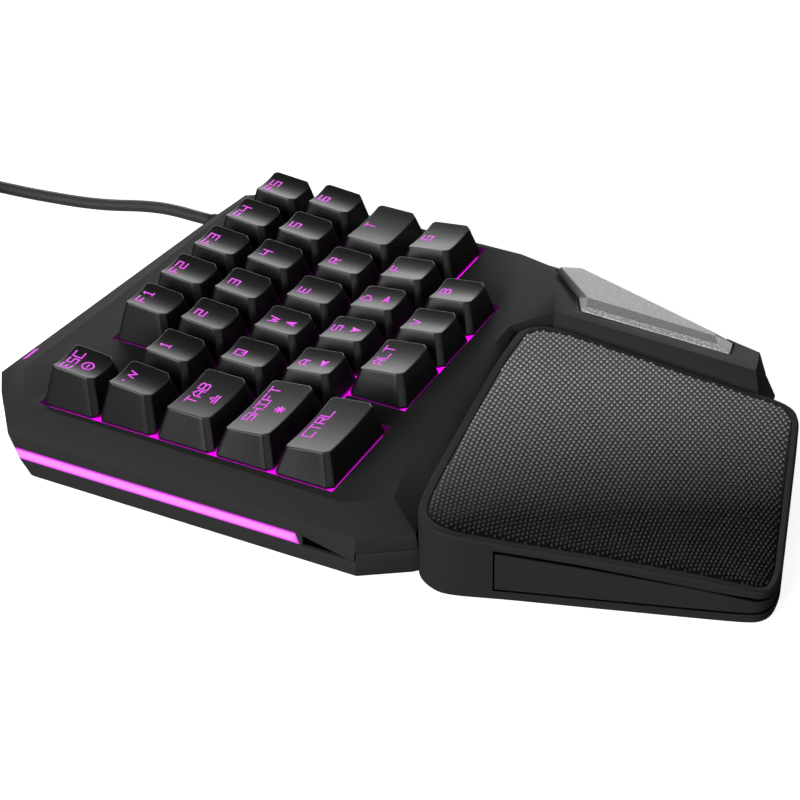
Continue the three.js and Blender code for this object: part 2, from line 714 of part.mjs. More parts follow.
function palmCarrier() {
  const { x, y } = palmScrewSpot;
  const ring = inset(padOutline, seatGap);
  const plate = loft([onLedge(ring, seatGap), onLedge(ring, seatGap + carrierWall)]);
  const post = disc(x, y, floorWall + seatGap, palmScrewTop + seatGap, bossRadius, bossSides);
  return plate.add(post).subtract(disc(x, y, 0, palmScrewTop, screwRadius + seatGap, bossSides));
}

// Palm pad: rings of its outline drawn in to the middle, over a flat underside on the carrier
const padRise = 2 * seatGap + carrierWall;
const padRingShares = [0.97, 0.9, 0.76, 0.56, 0.34, 0.12];
const padCrownShare = 0.8;
const padWaistShare = 0.6;

function palmPad() {
  const outline = inset(padOutline, seatGap);
  const middle = outline.reduce((sum, p) => sum.add(p), spot(0, 0)).divideScalar(outline.length);
  const foot = onLedge(inset(outline, seatGap), padRise);
  const edge = lifted(outline, -padEdgeDrop);
  const waist = edge.map((p) => spot(p.x, p.y, blend(ledgeAt(p.y) + padRise, p.z, padWaistShare)));
  const swell = (share) => Math.sqrt(1 - (share / padCrownShare - 1) ** 2);
  const crown = (share) => padCrown * swell(share) - padSag * (1 - share) ** 2;
  const tops = padRingShares.map((share) =>
    lifted(outline.map((p) => middle.clone().lerp(p, share)), crown(share) - padEdgeDrop));
  return loft([foot, waist, edge, ...tops]);
}

// One point more between each two of a ring, on a curve through them
function smoothed(ring) {
  const curve = new THREE.CatmullRomCurve3(ring, true, "centripetal");
  return ring.flatMap((p, i) => [p, curve.getPoint((i + 0.5) / ring.length)]);
}

// Feet: two under the far edge of the case and two under the near edge of the palm rest
const footFarShares = { foot_far_left: [0.06, 1.042], foot_far_right: [0.88, 1.042] };
const footNearShares = { foot_near_left: [0.3, 0.15], foot_near_right: [0.856, 0.35] };
const spotsOf = (shares, placed) => Object.entries(shares).map(([name, share]) => [name, placed(share)]);
const footSpots = Object.fromEntries([
  ...spotsOf(footFarShares, ([x, y]) => spot(x * fieldWidth, y * fieldDepth)),
  ...spotsOf(footNearShares, palmSpot),
]);

// Bottom case: ribs on its floor carry the back plate
const ribShares = [0.2, 1.5, 3, 4.5, 6.2];
const ribNearShare = 1.2;
const ribFarShare = 4;
const palmFloorRing = inset(palmRing, palmWall + seatGap);

function bottomCase() {
  const skin = caseOuter.subtract(blockInner.add(armInner));
  const tray = skin.intersect(below(seamHeight - seatGap / 2)).add(skin.intersect(facetStep(seatGap / 2)));
  const ribTop = backPlateLow - seatGap;
  const [ribNear, ribFar] = [ribNearShare, ribFarShare].map((share) => share * keyPitch);
  const ribs = ribShares.map((share) => share * keyPitch).map((left) =>
    block(left, left + ribWall, ribNear, ribFar, floorWall / 2, ribTop));
  const postTop = seamHeight - seatGap / 2;
  const posts = screwSpots.map((p) => disc(p.x, p.y, floorWall / 2, postTop, postRadius, bossSides));
  const floor = prism(palmFloorRing, 0, floorWall);
  const holes = [...screwSpots, palmScrewSpot].flatMap((p) => [
    disc(p.x, p.y, -overrun, screwSeat, screwHeadRadius + seatGap, bossSides),
    disc(p.x, p.y, -overrun, seamHeight + overrun, screwRadius + seatGap, bossSides),
  ]);
  const sockets = Object.values(footSpots).map((p) =>
    disc(p.x, p.y, -overrun, footSunk, footRadius + seatGap, footSides));
  const whole = joined([tray, ...ribs, ...posts, floor, bridge(0, floorWall)]);
  return cut(whole, [...holes, ...sockets, glandHole]);
}

// Cord: a free stretch from the gland, then one flat coil of two layers whose end runs to the plug
const cordRadius = cordDiameter / 2;
const tableHeight = -footProud;
const cordRest = tableHeight + cordRadius + tieWall + seatGap;
const coilOuterRadius = coilMiddleRadius + (coilTurnsPerLayer * coilPitch) / 2;
const coilCentre = spot(87.4, 226);
const coilLow = cordRest + seatGap;
const coilStart = spot(coilCentre.x + coilOuterRadius, coilCentre.y - coilLead, coilLow);

const cordRoute = [
  spot(cordX, glandEnd + seatGap, cordHeight),
  spot(cordX, 124.5, 6.1),
  spot(cordX, 130, 6.2),
  spot(128.4, 136, 6),
  spot(128.2, 142, 5.3),
  spot(127.9, 148, 4.3),
  spot(127.4, 154, 3.2),
  spot(126.8, 160, 2.4),
  spot(126.1, 166, 1.9),
  spot(125.3, 172, 1.7),
  spot(124.5, 178, 1.7),
  spot(123.7, 184, 1.7),
  spot(123, 190, 1.8),
  spot(122.3, 196, 2),
  spot(121.7, 202, 2.2),
  spot(121.3, 207, 2.3),
  spot(coilStart.x, 212, coilLow),
  spot(coilStart.x, coilStart.y - seatGap, coilLow),
];

function freeStretch() {
  const section = new THREE.Shape(Array.from({ length: cordSides }, (_, i) => {
    const angle = ((i + 0.5) / cordSides) * 2 * Math.PI;
    return new THREE.Vector2(cordRadius * Math.cos(angle), cordRadius * Math.sin(angle));
  }));
  const extrudePath = new THREE.CatmullRomCurve3(cordRoute, false, "centripetal");
  const steps = cordStretchSteps;
  return solid(new THREE.ExtrudeGeometry(section, { steps, extrudePath, curveSegments: 1 }));
}

// The coil winds inwards on the lower layer and outwards again on the upper one
const coilClimbShare = 0.25;
function coilPoints() {
  const half = coilTurnsPerLayer;
  const steps = 2 * half * coilStepsPerTurn;
  const points = [];
  for (let i = 0; i <= steps; i += 1) {
    const turn = i / coilStepsPerTurn;
    const radius = coilOuterRadius - coilPitch * (half - Math.abs(turn - half));
    const climb = THREE.MathUtils.smoothstep(turn, half - coilClimbShare, half + coilClimbShare);
    const angle = turn * 2 * Math.PI;
    const reach = spot(radius * Math.cos(angle), radius * Math.sin(angle), coilLow + coilPitch * climb);
    points.push(reach.add(coilCentre));
  }
  return points;
}

// The least distance between the coil's turns, less the cord's own thickness
function leastGap(points) {
  let least = Infinity;
  points.forEach((p, i) => {
    points.slice(i + coilStepsPerTurn / 2).forEach((q) => {
      least = Math.min(least, p.distanceTo(q) - cordDiameter);
    });
  });
  return least;
}

const plugMiddle = tableHeight + plugHeight / 2 + seatGap;
const coilTurns = coilPoints();
const coilEnd = coilTurns[coilTurns.length - 1];
// The tail leaves the coil and falls to the plug: shares of its length, and of its fall still to come
const tailShares = [[0.15, 0.97], [0.31, 0.75], [0.46, 0.35], [0.62, 0.06], [0.77, 0], [1, 0]];
const coilTail = tailShares.map(([along, left]) =>
  spot(coilEnd.x, coilEnd.y - along * tailLength, blend(plugMiddle, coilEnd.z, left)));
const coilEntry = spot(coilStart.x, coilStart.y + coilLead / 2, coilLow);
const coilLine = [coilStart, coilEntry, ...coilTurns, ...coilTail];
console.log(`least gap between the coil's turns: ${leastGap(coilTurns).toFixed(2)} mm`);

// Cord along a line of points, with a section of equal sides at each
function cordAlong(points, sides) {
  const rings = points.map((p, i) => {
    const next = points[Math.min(i + 1, points.length - 1)];
    const along = next.clone().sub(points[Math.max(i - 1, 0)]).normalize();
    const flat = spot(-along.y, along.x, 0).normalize();
    const up = along.clone().cross(flat);
    return Array.from({ length: sides }, (_, k) => {
      const angle = ((k + 0.5) / sides) * 2 * Math.PI;
      const rim = flat.clone().multiplyScalar(Math.cos(angle)).addScaledVector(up, Math.sin(angle));
      return p.clone().addScaledVector(rim, cordRadius);
    });
  });
  const positions = rings.flat().flatMap((p) => [p.x, p.y, p.z]);
  const index = [];
  rings.slice(1).forEach((_, level) => {
    for (let k = 0; k < sides; k += 1) {
      const next = (k + 1) % sides;
      const low = level * sides;
      const high = low + sides;
      index.push(low + k, low + next, high + next, low + k, high + next, high + k);
    }
  });
  const last = (rings.length - 1) * sides;
  for (let k = 1; k < sides - 1; k += 1) {
    index.push(0, k + 1, k, last, last + k, last + k + 1);
  }
  const geometry = new THREE.BufferGeometry();
  geometry.setAttribute("position", new THREE.Float32BufferAttribute(positions, 3));
  geometry.setIndex(index);
  return solid(geometry);
}

// Tie: a strap round the bundle of turns, on the coil's far side
function coilTie() {
  const inner = coilOuterRadius - coilTurnsPerLayer * coilPitch - cordRadius - 2 * seatGap;
  const outer = coilOuterRadius + cordRadius + seatGap;
  const low = coilLow - cordRadius - seatGap;
  const high = coilLow + coilPitch + cordRadius + seatGap;
  const left = coilCentre.x - tieWidth / 2;
  const right = coilCentre.x + tieWidth / 2;
  const near = coilCentre.y + inner;
  const far = coilCentre.y + outer;
  return block(left, right, near - tieWall, far + tieWall, low - tieWall, high + tieWall).subtract(
    block(left - overrun, right + overrun, near, far, low, high),
  );
}

// Plug: a moulded body with eased corners, and the metal shell that enters a socket
const plugFar = coilTail[coilTail.length - 1].y - seatGap;
const plugNear = plugFar - plugLength;
const plugLeft = coilEnd.x - plugWidth / 2;
const plugRight = coilEnd.x + plugWidth / 2;

function plugBody() {
  const outline = [
    spot(plugLeft + plugTaper, plugNear), spot(plugRight - plugTaper, plugNear),
    spot(plugRight, plugNear + plugTaper), spot(plugRight, plugFar - plugTaper),
    spot(plugRight - 2 * plugTaper, plugFar), spot(plugLeft + 2 * plugTaper, plugFar),
    spot(plugLeft, plugFar - plugTaper), spot(plugLeft, plugNear + plugTaper),
  ];
  const low = plugMiddle - plugHeight / 2;
  const high = plugMiddle + plugHeight / 2;
  return loft([
    levelled(inset(outline, plugBevel), low), levelled(outline, low + plugBevel),
    levelled(outline, high - plugBevel), levelled(inset(outline, plugBevel), high),
  ]);
}

const tongueHeightShares = [-0.05, 0.3];
function plugShell() {
  const far = plugNear - seatGap;
  const near = far - shellLength;
  const slab = (trim, start, end, low, high) => {
    const side = shellWidth / 2 - trim;
    return block(coilEnd.x - side, coilEnd.x + side, start, end, plugMiddle + low, plugMiddle + high);
  };
  const half = shellHeight / 2;
  const sleeve = slab(0, near, far, -half, half);
  const hollow = slab(shellWall, near - overrun, far - shellWall, shellWall - half, half - shellWall);
  const [tongueLow, tongueHigh] = tongueHeightShares.map((share) => share * shellHeight);
  return sleeve.subtract(hollow).add(slab(2 * shellWall, near + shellWall, far, tongueLow, tongueHigh));
}

// Assembly
const keypad = new THREE.Group();
function place(name, body, material, group = keypad) {
  const mesh = new THREE.Mesh(geometryOf(body), material);
  mesh.name = name;
  group.add(mesh);
}

place("top_case", topCase(), finishes.case);
place("bottom_case", bottomCase(), finishes.lowerCase);
place("key_plate", keyPlate(), finishes.glow);
place("dome_sheet", domeSheet(), finishes.dome);
place("membrane_sheet", prism(sheetRing, membraneLow, membraneLow + membraneWall), finishes.film);
place("back_plate", prism(sheetRing, backPlateLow, backPlateLow + backPlateWall), finishes.steel);
const boardShares = [4.65, 6.1, 1.4, 4.6];
const boardSides = boardShares.map((share) => share * keyPitch);
place("controller_board", block(...boardSides, boardLow, boardLow + boardWall), finishes.board);
const stripGuide = caseSkin.intersect(stripBar(0)).intersect(above(seamHeight + seatGap / 2));
place("light_strip", stripGuide, finishes.glow);
const cornerGuide = caseSkin.intersect(prism(cornerLightRing(seatGap), cornerLightLow, deckHeight));
place("corner_light", cornerGuide, finishes.glow);
keys.forEach((key) => place(key.name, keycap(key), finishes.keycap));
const thumbPostLow = pocketUnderside - seatGap / 2;
place("thumb_key", joined([thumbKey, ...thumbPosts(0, thumbPostLow)]), finishes.silver);

const switchShares = [0.5, 0.7];
const switchSpot = armPlace(switchShares);
const switchBoard = standing(switchSpot, thumbSwitchWidth / 2, switchBoardLow, switchBoardLow + boardWall);
const thumbDome = disc(
  switchSpot.x, switchSpot.y, thumbDomeLow, thumbCeilingHeight - seatGap,
  domeFootRadius - domeWall, bossSides, domeHeadRadius - domeWall,
);
place("thumb_switch_board", switchBoard, finishes.board);
place("thumb_dome", thumbDome, finishes.dome);

place("palm_cover", palmCover(), finishes.case);
const sidePanel = panelStrip(panelInset, panelInset + panelWall, panelFoot, panelHead, 0);
place("palm_side_panel", sidePanel, finishes.case);
place("palm_carrier", palmCarrier(), finishes.lowerCase);
place("palm_pad", palmPad(), finishes.pad);
screwSpots.forEach((p, i) => place(`case_screw_${i + 1}`, screw(p, screwLength), finishes.steel));
place("palm_screw", screw(palmScrewSpot, palmScrewTop - seatGap), finishes.steel);
const footTop = footSunk - seatGap;
const foot = (p) => disc(p.x, p.y, -footProud, footTop, footRadius - seatGap, footSides, footRadius);
Object.entries(footSpots).forEach(([name, p]) => place(name, foot(p), finishes.rubber));
place("cable_gland", gland(), finishes.rubber);

// The frame's origin is at the middle of the keypad's own underside, without the cord
const frame = new THREE.Box3().setFromObject(keypad);
const middle = frame.getCenter(new THREE.Vector3());
const cord = new THREE.Group();
place("cable", freeStretch(), finishes.braid, cord);
place("cable_coil", cordAlong(coilLine, coilSides), finishes.braid, cord);
place("coil_tie", coilTie(), finishes.rubber, cord);
place("plug_body", plugBody(), finishes.rubber, cord);
place("plug_shell", plugShell(), finishes.steel, cord);
keypad.add(cord);
keypad.position.set(-middle.x, -middle.y, -frame.min.z);

export default keypad;
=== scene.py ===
import math
from contextlib import contextmanager

import bmesh
import bpy
import numpy as np
from mathutils import Matrix, Vector
from mathutils.bvhtree import BVHTree


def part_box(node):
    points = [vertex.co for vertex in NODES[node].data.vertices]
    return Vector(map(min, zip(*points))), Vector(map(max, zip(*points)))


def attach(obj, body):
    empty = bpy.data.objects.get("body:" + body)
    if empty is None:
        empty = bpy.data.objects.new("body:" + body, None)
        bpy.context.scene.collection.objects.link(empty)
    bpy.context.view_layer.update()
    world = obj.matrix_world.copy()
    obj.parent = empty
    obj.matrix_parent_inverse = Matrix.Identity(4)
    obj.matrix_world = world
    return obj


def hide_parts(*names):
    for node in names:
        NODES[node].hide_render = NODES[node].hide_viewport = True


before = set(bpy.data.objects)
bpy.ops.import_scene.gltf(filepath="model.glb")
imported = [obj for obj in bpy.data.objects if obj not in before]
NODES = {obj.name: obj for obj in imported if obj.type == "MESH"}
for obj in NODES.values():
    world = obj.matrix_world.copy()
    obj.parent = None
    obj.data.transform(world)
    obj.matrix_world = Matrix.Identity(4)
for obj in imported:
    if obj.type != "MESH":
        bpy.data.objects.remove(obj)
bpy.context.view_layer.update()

bl_info = {
    "name": "Gaming Keypad",
    "version": (1, 0, 0),
    "blender": (4, 5, 0),
    "location": "3D View > Sidebar > Keypad",
    "description": "Dresses a left-hand gaming keypad: case, keys, legends, lights, palm pad and cord",
    "category": "Object",
}

MM = 0.001
CASE_BODY = "case"

# The part's drawing starts at the near-left corner of the near-left key cell, at the case's lower edge.
# Places and lengths in this file are in the drawing's millimetres, unless they are multiplied by MM.
DRAWING = Vector((-66.14867, -1.63267, 0.8)) * MM
KEY_PITCH = 19.05
DECK_HEIGHT = 18.0


def drawn(x, y, z=0.0):
    """A place in the part's drawing as a point of the scene."""
    return Vector((x, y, z)) * MM + DRAWING


def within(low, point, high):
    """Whether a point of the scene lies in a box of the drawing."""
    return all(a <= c <= b for a, c, b in zip(drawn(*low), point, drawn(*high)))


def linear(hex_colour):
    """A colour given as six hex digits, in linear light."""
    parts = [int(hex_colour[i:i + 2], 16) / 255 for i in (0, 2, 4)]
    return tuple(c / 12.92 if c <= 0.04045 else ((c + 0.055) / 1.055) ** 2.4 for c in parts)


# Sizes and colours that a user would change
class KeypadFinishSettings(bpy.types.PropertyGroup):
    case_colour: bpy.props.FloatVectorProperty(
        name="Case", description="Colour of the upper case and the palm cover", subtype="COLOR", size=3,
        default=linear("333334"), min=0, max=1)
    tray_colour: bpy.props.FloatVectorProperty(
        name="Lower case", description="Colour of the lower case", subtype="COLOR", size=3,
        default=linear("333334"), min=0, max=1)
    cap_colour: bpy.props.FloatVectorProperty(
        name="Keycaps", description="Colour of the keycaps", subtype="COLOR", size=3,
        default=linear("121213"), min=0, max=1)
    glow_colour: bpy.props.FloatVectorProperty(
        name="Glow", description="Colour of the lit key plate", subtype="COLOR", size=3,
        default=linear("ff10fb"), min=0, max=1)
    legend_colour: bpy.props.FloatVectorProperty(
        name="Legends", description="Colour of the lit legends", subtype="COLOR", size=3,
        default=linear("e03be4"), min=0, max=1)
    silver_colour: bpy.props.FloatVectorProperty(
        name="Thumb key", description="Colour of the thumb key's metallic paint", subtype="COLOR", size=3,
        default=linear("b4b4b6"), min=0, max=1)
    pad_colour: bpy.props.FloatVectorProperty(
        name="Pad", description="Colour of the palm pad", subtype="COLOR", size=3,
        default=linear("303031"), min=0, max=1)


class KeypadShapeSettings(bpy.types.PropertyGroup):
    edge_round: bpy.props.FloatProperty(
        name="Case edge", description="Rounding of the case's moulded edges", default=0.45 * MM,
        min=0, max=2 * MM, unit="LENGTH", precision=5)
    cap_round: bpy.props.FloatProperty(
        name="Cap edge", description="Rounding of the keycaps' edges", default=0.3 * MM,
        min=0.1 * MM, max=1 * MM, unit="LENGTH", precision=5)
    dish_depth: bpy.props.FloatProperty(
        name="Dish", description="Depth of the hollow in each keycap's top", default=0.8 * MM,
        min=0, max=1.2 * MM, unit="LENGTH", precision=5)
    stroke: bpy.props.FloatProperty(
        name="Legend stroke", description="Width of the legends' strokes", default=0.46 * MM,
        min=0.1 * MM, max=1 * MM, unit="LENGTH", precision=5)
    stud_pitch: bpy.props.FloatProperty(
        name="Stud pitch", description="Distance between the raised studs of the palm pad",
        default=1.49 * MM, min=1 * MM, max=4 * MM, unit="LENGTH", precision=5)
    cord_diameter: bpy.props.FloatProperty(
        name="Cord", description="Diameter of the braided cord", default=4 * MM,
        min=2 * MM, max=6 * MM, unit="LENGTH", precision=5)


# Node tree helpers
def fill(tree, node, inputs):
    """Give a node's inputs constants or the sockets that feed them."""
    for key, value in inputs.items():
        socket = node.inputs[key]
        if isinstance(value, bpy.types.NodeSocket):
            tree.links.new(value, socket)
        elif socket.type == "RGBA":
            socket.default_value = (*value, 1.0)
        else:
            socket.default_value = value
    return node


def add(tree, kind, inputs=None, **settings):
    """A new node with its settings and inputs."""
    node = tree.nodes.new(kind)
    for key, value in settings.items():
        setattr(node, key, value)
    return fill(tree, node, inputs or {})


def add_group(tree, name, inputs):
    return add(tree, "ShaderNodeGroup", inputs, node_tree=bpy.data.node_groups[name]).outputs


def math_node(tree, operation, *values, clamp=False):
    inputs = dict(enumerate(values))
    return add(tree, "ShaderNodeMath", inputs, operation=operation, use_clamp=clamp).outputs[0]


def scaled(tree, colour, gain):
    return add(tree, "ShaderNodeVectorMath", {0: colour, "Scale": gain}, operation="SCALE").outputs[0]


def place_in(tree, kind="Object"):
    return add(tree, "ShaderNodeTexCoord").outputs[kind]


def axes(tree, kind="Object"):
    return add(tree, "ShaderNodeSeparateXYZ", {"Vector": place_in(tree, kind)}).outputs


def noise(tree, **inputs):
    return add(tree, "ShaderNodeTexNoise", inputs).outputs[0]


def ramp(tree, share, *stops):
    """A colour picked by a share, between two stops of a place and a colour each."""
    node = add(tree, "ShaderNodeValToRGB", {"Fac": share})
    for element, (position, colour) in zip(node.color_ramp.elements, stops):
        element.position = position
        element.color = (*colour, 1)
    return node.outputs[0]


def camera_ray(tree):
    return add(tree, "ShaderNodeLightPath").outputs["Is Camera Ray"]


def new_group(name, inputs, outputs):
    tree = bpy.data.node_groups.new(name, "ShaderNodeTree")
    for label, default in inputs.items():
        is_colour = hasattr(default, "__len__")
        kind = "NodeSocketColor" if is_colour else "NodeSocketFloat"
        socket = tree.interface.new_socket(label, in_out="INPUT", socket_type=kind)
        socket.default_value = (*default, 1.0) if is_colour else default
    for label, kind in outputs.items():
        tree.interface.new_socket(label, in_out="OUTPUT", socket_type=kind)
    return tree, tree.nodes.new("NodeGroupInput").outputs, tree.nodes.new("NodeGroupOutput")


# Shared effects. A swing is how far a noise moves a roughness.
BROAD_SCALE = 60.0
BROAD_SWING = 0.12
FINE_SWING = 0.05
GRAIN_DEPTH = 0.04
FLECK_POWER = 3.0
FLECK_DIMMING = 0.25


def grain_group():
    """Fine moulded grain: a tinted colour, a roughness and a normal from two sizes of noise."""
    tree, given, out = new_group(
        "moulded_grain",
        {"Color": (0.02, 0.02, 0.02), "Roughness": 0.5, "Grain Size": 0.25, "Grain": 0.3, "Mottle": 0.15},
        {"Color": "NodeSocketColor", "Roughness": "NodeSocketFloat", "Normal": "NodeSocketVector"})
    place = place_in(tree)
    fine = noise(tree, Vector=place, Scale=math_node(tree, "DIVIDE", 1 / MM, given["Grain Size"]), Detail=2.0)
    broad = noise(tree, Vector=place, Scale=BROAD_SCALE, Detail=4.0)
    centred, fine_centred = (math_node(tree, "SUBTRACT", value, 0.5) for value in (broad, fine))
    shade = math_node(tree, "MULTIPLY_ADD", centred, given["Mottle"], 1.0)
    speck = math_node(tree, "MULTIPLY_ADD", fine_centred, given["Mottle"], shade)
    rough = math_node(tree, "MULTIPLY_ADD", centred, BROAD_SWING, given["Roughness"])
    bump = add(tree, "ShaderNodeBump", {
        "Strength": given["Grain"], "Distance": GRAIN_DEPTH * MM, "Height": fine})
    fill(tree, out, {
        "Color": scaled(tree, given["Color"], speck),
        "Roughness": math_node(tree, "MULTIPLY_ADD", fine, FINE_SWING, rough, clamp=True),
        "Normal": bump.outputs[0]})


def fleck_group():
    """Metallic flecks: bright points scattered in a paint."""
    tree, given, out = new_group(
        "metal_flecks", {"Color": (0.5, 0.5, 0.5), "Fleck Size": 0.3, "Fleck": 0.3},
        {"Color": "NodeSocketColor", "Mask": "NodeSocketFloat"})
    scale = math_node(tree, "DIVIDE", 1 / MM, given["Fleck Size"])
    cells = add(tree, "ShaderNodeTexVoronoi", {"Vector": place_in(tree), "Scale": scale})
    bright = add(tree, "ShaderNodeSeparateColor", {"Color": cells.outputs["Color"]}).outputs[0]
    spark = math_node(tree, "POWER", bright, FLECK_POWER)
    gain = math_node(tree, "MULTIPLY_ADD", spark, given["Fleck"], 1.0)
    dim = math_node(tree, "MULTIPLY_ADD", given["Fleck"], -FLECK_DIMMING, gain)
    fill(tree, out, {"Color": scaled(tree, given["Color"], dim), "Mask": spark})


# Materials
GLOW_CLOUD_SCALE = 120.0
GLOW_CLOUD = 0.12
GLOW_LEAST = 0.94
GLOW_BASE_SHARE = 0.2


def new_material(name):
    material = bpy.data.materials.new(name)
    material.use_nodes = True
    tree = material.node_tree
    return material, tree, tree.nodes["Principled BSDF"]


def grained(tree, shader, colour, roughness, size, grain, mottle, specular):
    """Feed a shader from the moulded grain."""
    surface = add_group(tree, "moulded_grain", {
        "Color": colour, "Roughness": roughness, "Grain Size": size, "Grain": grain, "Mottle": mottle})
    fill(tree, shader, {
        "Base Color": surface["Color"], "Roughness": surface["Roughness"], "Normal": surface["Normal"],
        "Specular IOR Level": specular})


def moulded(name, colour, roughness, size, grain, mottle=0.15, specular=0.5, metallic=0.0):
    """Moulded plastic or rubber, or plated metal, with fine grain."""
    material, tree, shader = new_material(name)
    grained(tree, shader, colour, roughness, size, grain, mottle, specular)
    fill(tree, shader, {"Metallic": metallic})
    return material


def glowing(name, colour, spill, tone_in=None):
    """A lit translucent plastic, which shines at the eye and only a little on its neighbours."""
    material, tree, shader = new_material(name)
    if tone_in:
        tone = tone_in(tree)
    else:
        cloud = noise(tree, Vector=place_in(tree), Scale=GLOW_CLOUD_SCALE)
        tone = scaled(tree, colour, math_node(tree, "MULTIPLY_ADD", cloud, GLOW_CLOUD, GLOW_LEAST))
    strength = math_node(tree, "MULTIPLY_ADD", camera_ray(tree), 1.0 - spill, spill)
    fill(tree, shader, {
        "Base Color": [GLOW_BASE_SHARE * c for c in colour], "Roughness": 0.4,
        "Emission Color": tone, "Emission Strength": strength})
    return material


# Mesh helpers. Solids are welded and freed of flat edges before their edges are rounded.
WELD_DISTANCE = 0.004
FLAT_ANGLE = 0.8


def mesh_object(name, mesh):
    piece = bpy.data.objects.new(name, mesh)
    bpy.context.scene.collection.objects.link(piece)
    return piece


def new_piece(name, points, faces, smooth=True):
    mesh = bpy.data.meshes.new(name)
    mesh.from_pydata([tuple(p) for p in points], [], faces)
    mesh.validate()
    mesh.polygons.foreach_set("use_smooth", [smooth] * len(mesh.polygons))
    return mesh_object(name, mesh)


def coat(piece, *materials):
    """Give a piece these materials in place of its own."""
    piece.data.materials.clear()
    for material in materials:
        piece.data.materials.append(material)


def settle(piece, body, slot, *nodes):
    """Hide the solids that a finished piece stands for and give the piece its body; the slot is not used."""
    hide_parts(*nodes)
    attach(piece, body)


@contextmanager
def edited(mesh):
    """A mesh opened for editing, and written back afterwards."""
    shape = bmesh.new()
    shape.from_mesh(mesh)
    yield shape
    shape.to_mesh(mesh)
    shape.free()


def baked(piece):
    """The piece with its modifiers applied to its mesh."""
    depsgraph = bpy.context.evaluated_depsgraph_get()
    mesh = bpy.data.meshes.new_from_object(piece.evaluated_get(depsgraph))
    old = piece.data
    piece.modifiers.clear()
    piece.data = mesh
    mesh.name = piece.name
    if old.users == 0:
        bpy.data.meshes.remove(old)
    return piece


def rounded(piece, width, segments=3, angle=24):
    """The piece with its edges rounded where faces meet at more than an angle in degrees."""
    bevel = piece.modifiers.new("edges", "BEVEL")
    bevel.width = width
    bevel.segments = segments
    bevel.limit_method = "ANGLE"
    bevel.angle_limit = math.radians(angle)
    bevel.harden_normals = True
    return baked(piece)


def softened(node, name, width, moves):
    """A copy of a CAD solid with some corners moved and its moulded edges rounded."""
    cleaned = bmesh.new()
    cleaned.from_mesh(NODES[node].data)
    bmesh.ops.remove_doubles(cleaned, verts=cleaned.verts, dist=WELD_DISTANCE * MM)
    bmesh.ops.dissolve_limit(
        cleaned, angle_limit=math.radians(FLAT_ANGLE), verts=cleaned.verts, edges=cleaned.edges)
    for low, high, shift in moves:
        for corner in cleaned.verts:
            if within(low, corner.co, high):
                corner.co += Vector(shift) * MM
    mesh = bpy.data.meshes.new(name)
    cleaned.to_mesh(mesh)
    cleaned.free()
    mesh.polygons.foreach_set("use_smooth", [True] * len(mesh.polygons))
    return rounded(mesh_object(name, mesh), width)


def bend(a, corner, b, t):
    """A point on the curve that rounds a corner between two points."""
    return (1 - t) ** 2 * a + 2 * t * (1 - t) * corner + t * t * b


def band_faces(rings, count, closed=False):
    """Quads between rings of points, and from the last ring back to the first if closed."""
    faces = []
    for level in range(rings if closed else rings - 1):
        a, b = level * count, (level + 1) % rings * count
        for i in range(count):
            j = (i + 1) % count
            faces.append((a + i, a + j, b + j, b + i))
    return faces


def lofted(rings, closed=False):
    """Points and faces of a skin over rings of equal counts, with caps on its ends unless it is closed."""
    count = len(rings[0])
    points = [drawn(*p) for ring in rings for p in ring]
    faces = band_faces(len(rings), count, closed)
    if not closed:
        faces.append(tuple(range(count))[::-1])
        faces.append(tuple(range(len(points) - count, len(points))))
    return points, faces


# Stage: the camera was fitted to the photograph, and its turns are in degrees. The near clip, the floor
# and the lamps' places and sizes are in metres.
PICTURE_PIXELS = 800
FOCAL_PIXELS = 2391.8
SENSOR_WIDTH = 36
CAMERA_TURNS = (-61.782, 34.216, -1.087)
CAMERA_PLACE = (-450.8, -263.2, 402.0)
NEAR_CLIP = 0.01
FLOOR_HALF = 4.0
FLOOR_SHADE = 0.1
FLOOR_SEEN_SHADE = 0.8
FLOOR_SEEN_LIGHT = 0.84
ROOM_LIGHT = 0.05
LAMPS = (
    ("left_panel", (-1.3, 0.4, 0.6), (1.1, 0.9), 20.0),
    ("back_panel", (1.3, 0.75, 0.36), (1.8, 0.5), 11.0),
    ("overhead", (-0.2, 0.3, 1.3), (0.5, 0.5), 0.8),
    ("near_fill", (-0.8, -1.1, 0.5), (0.6, 0.6), 2.2),
)


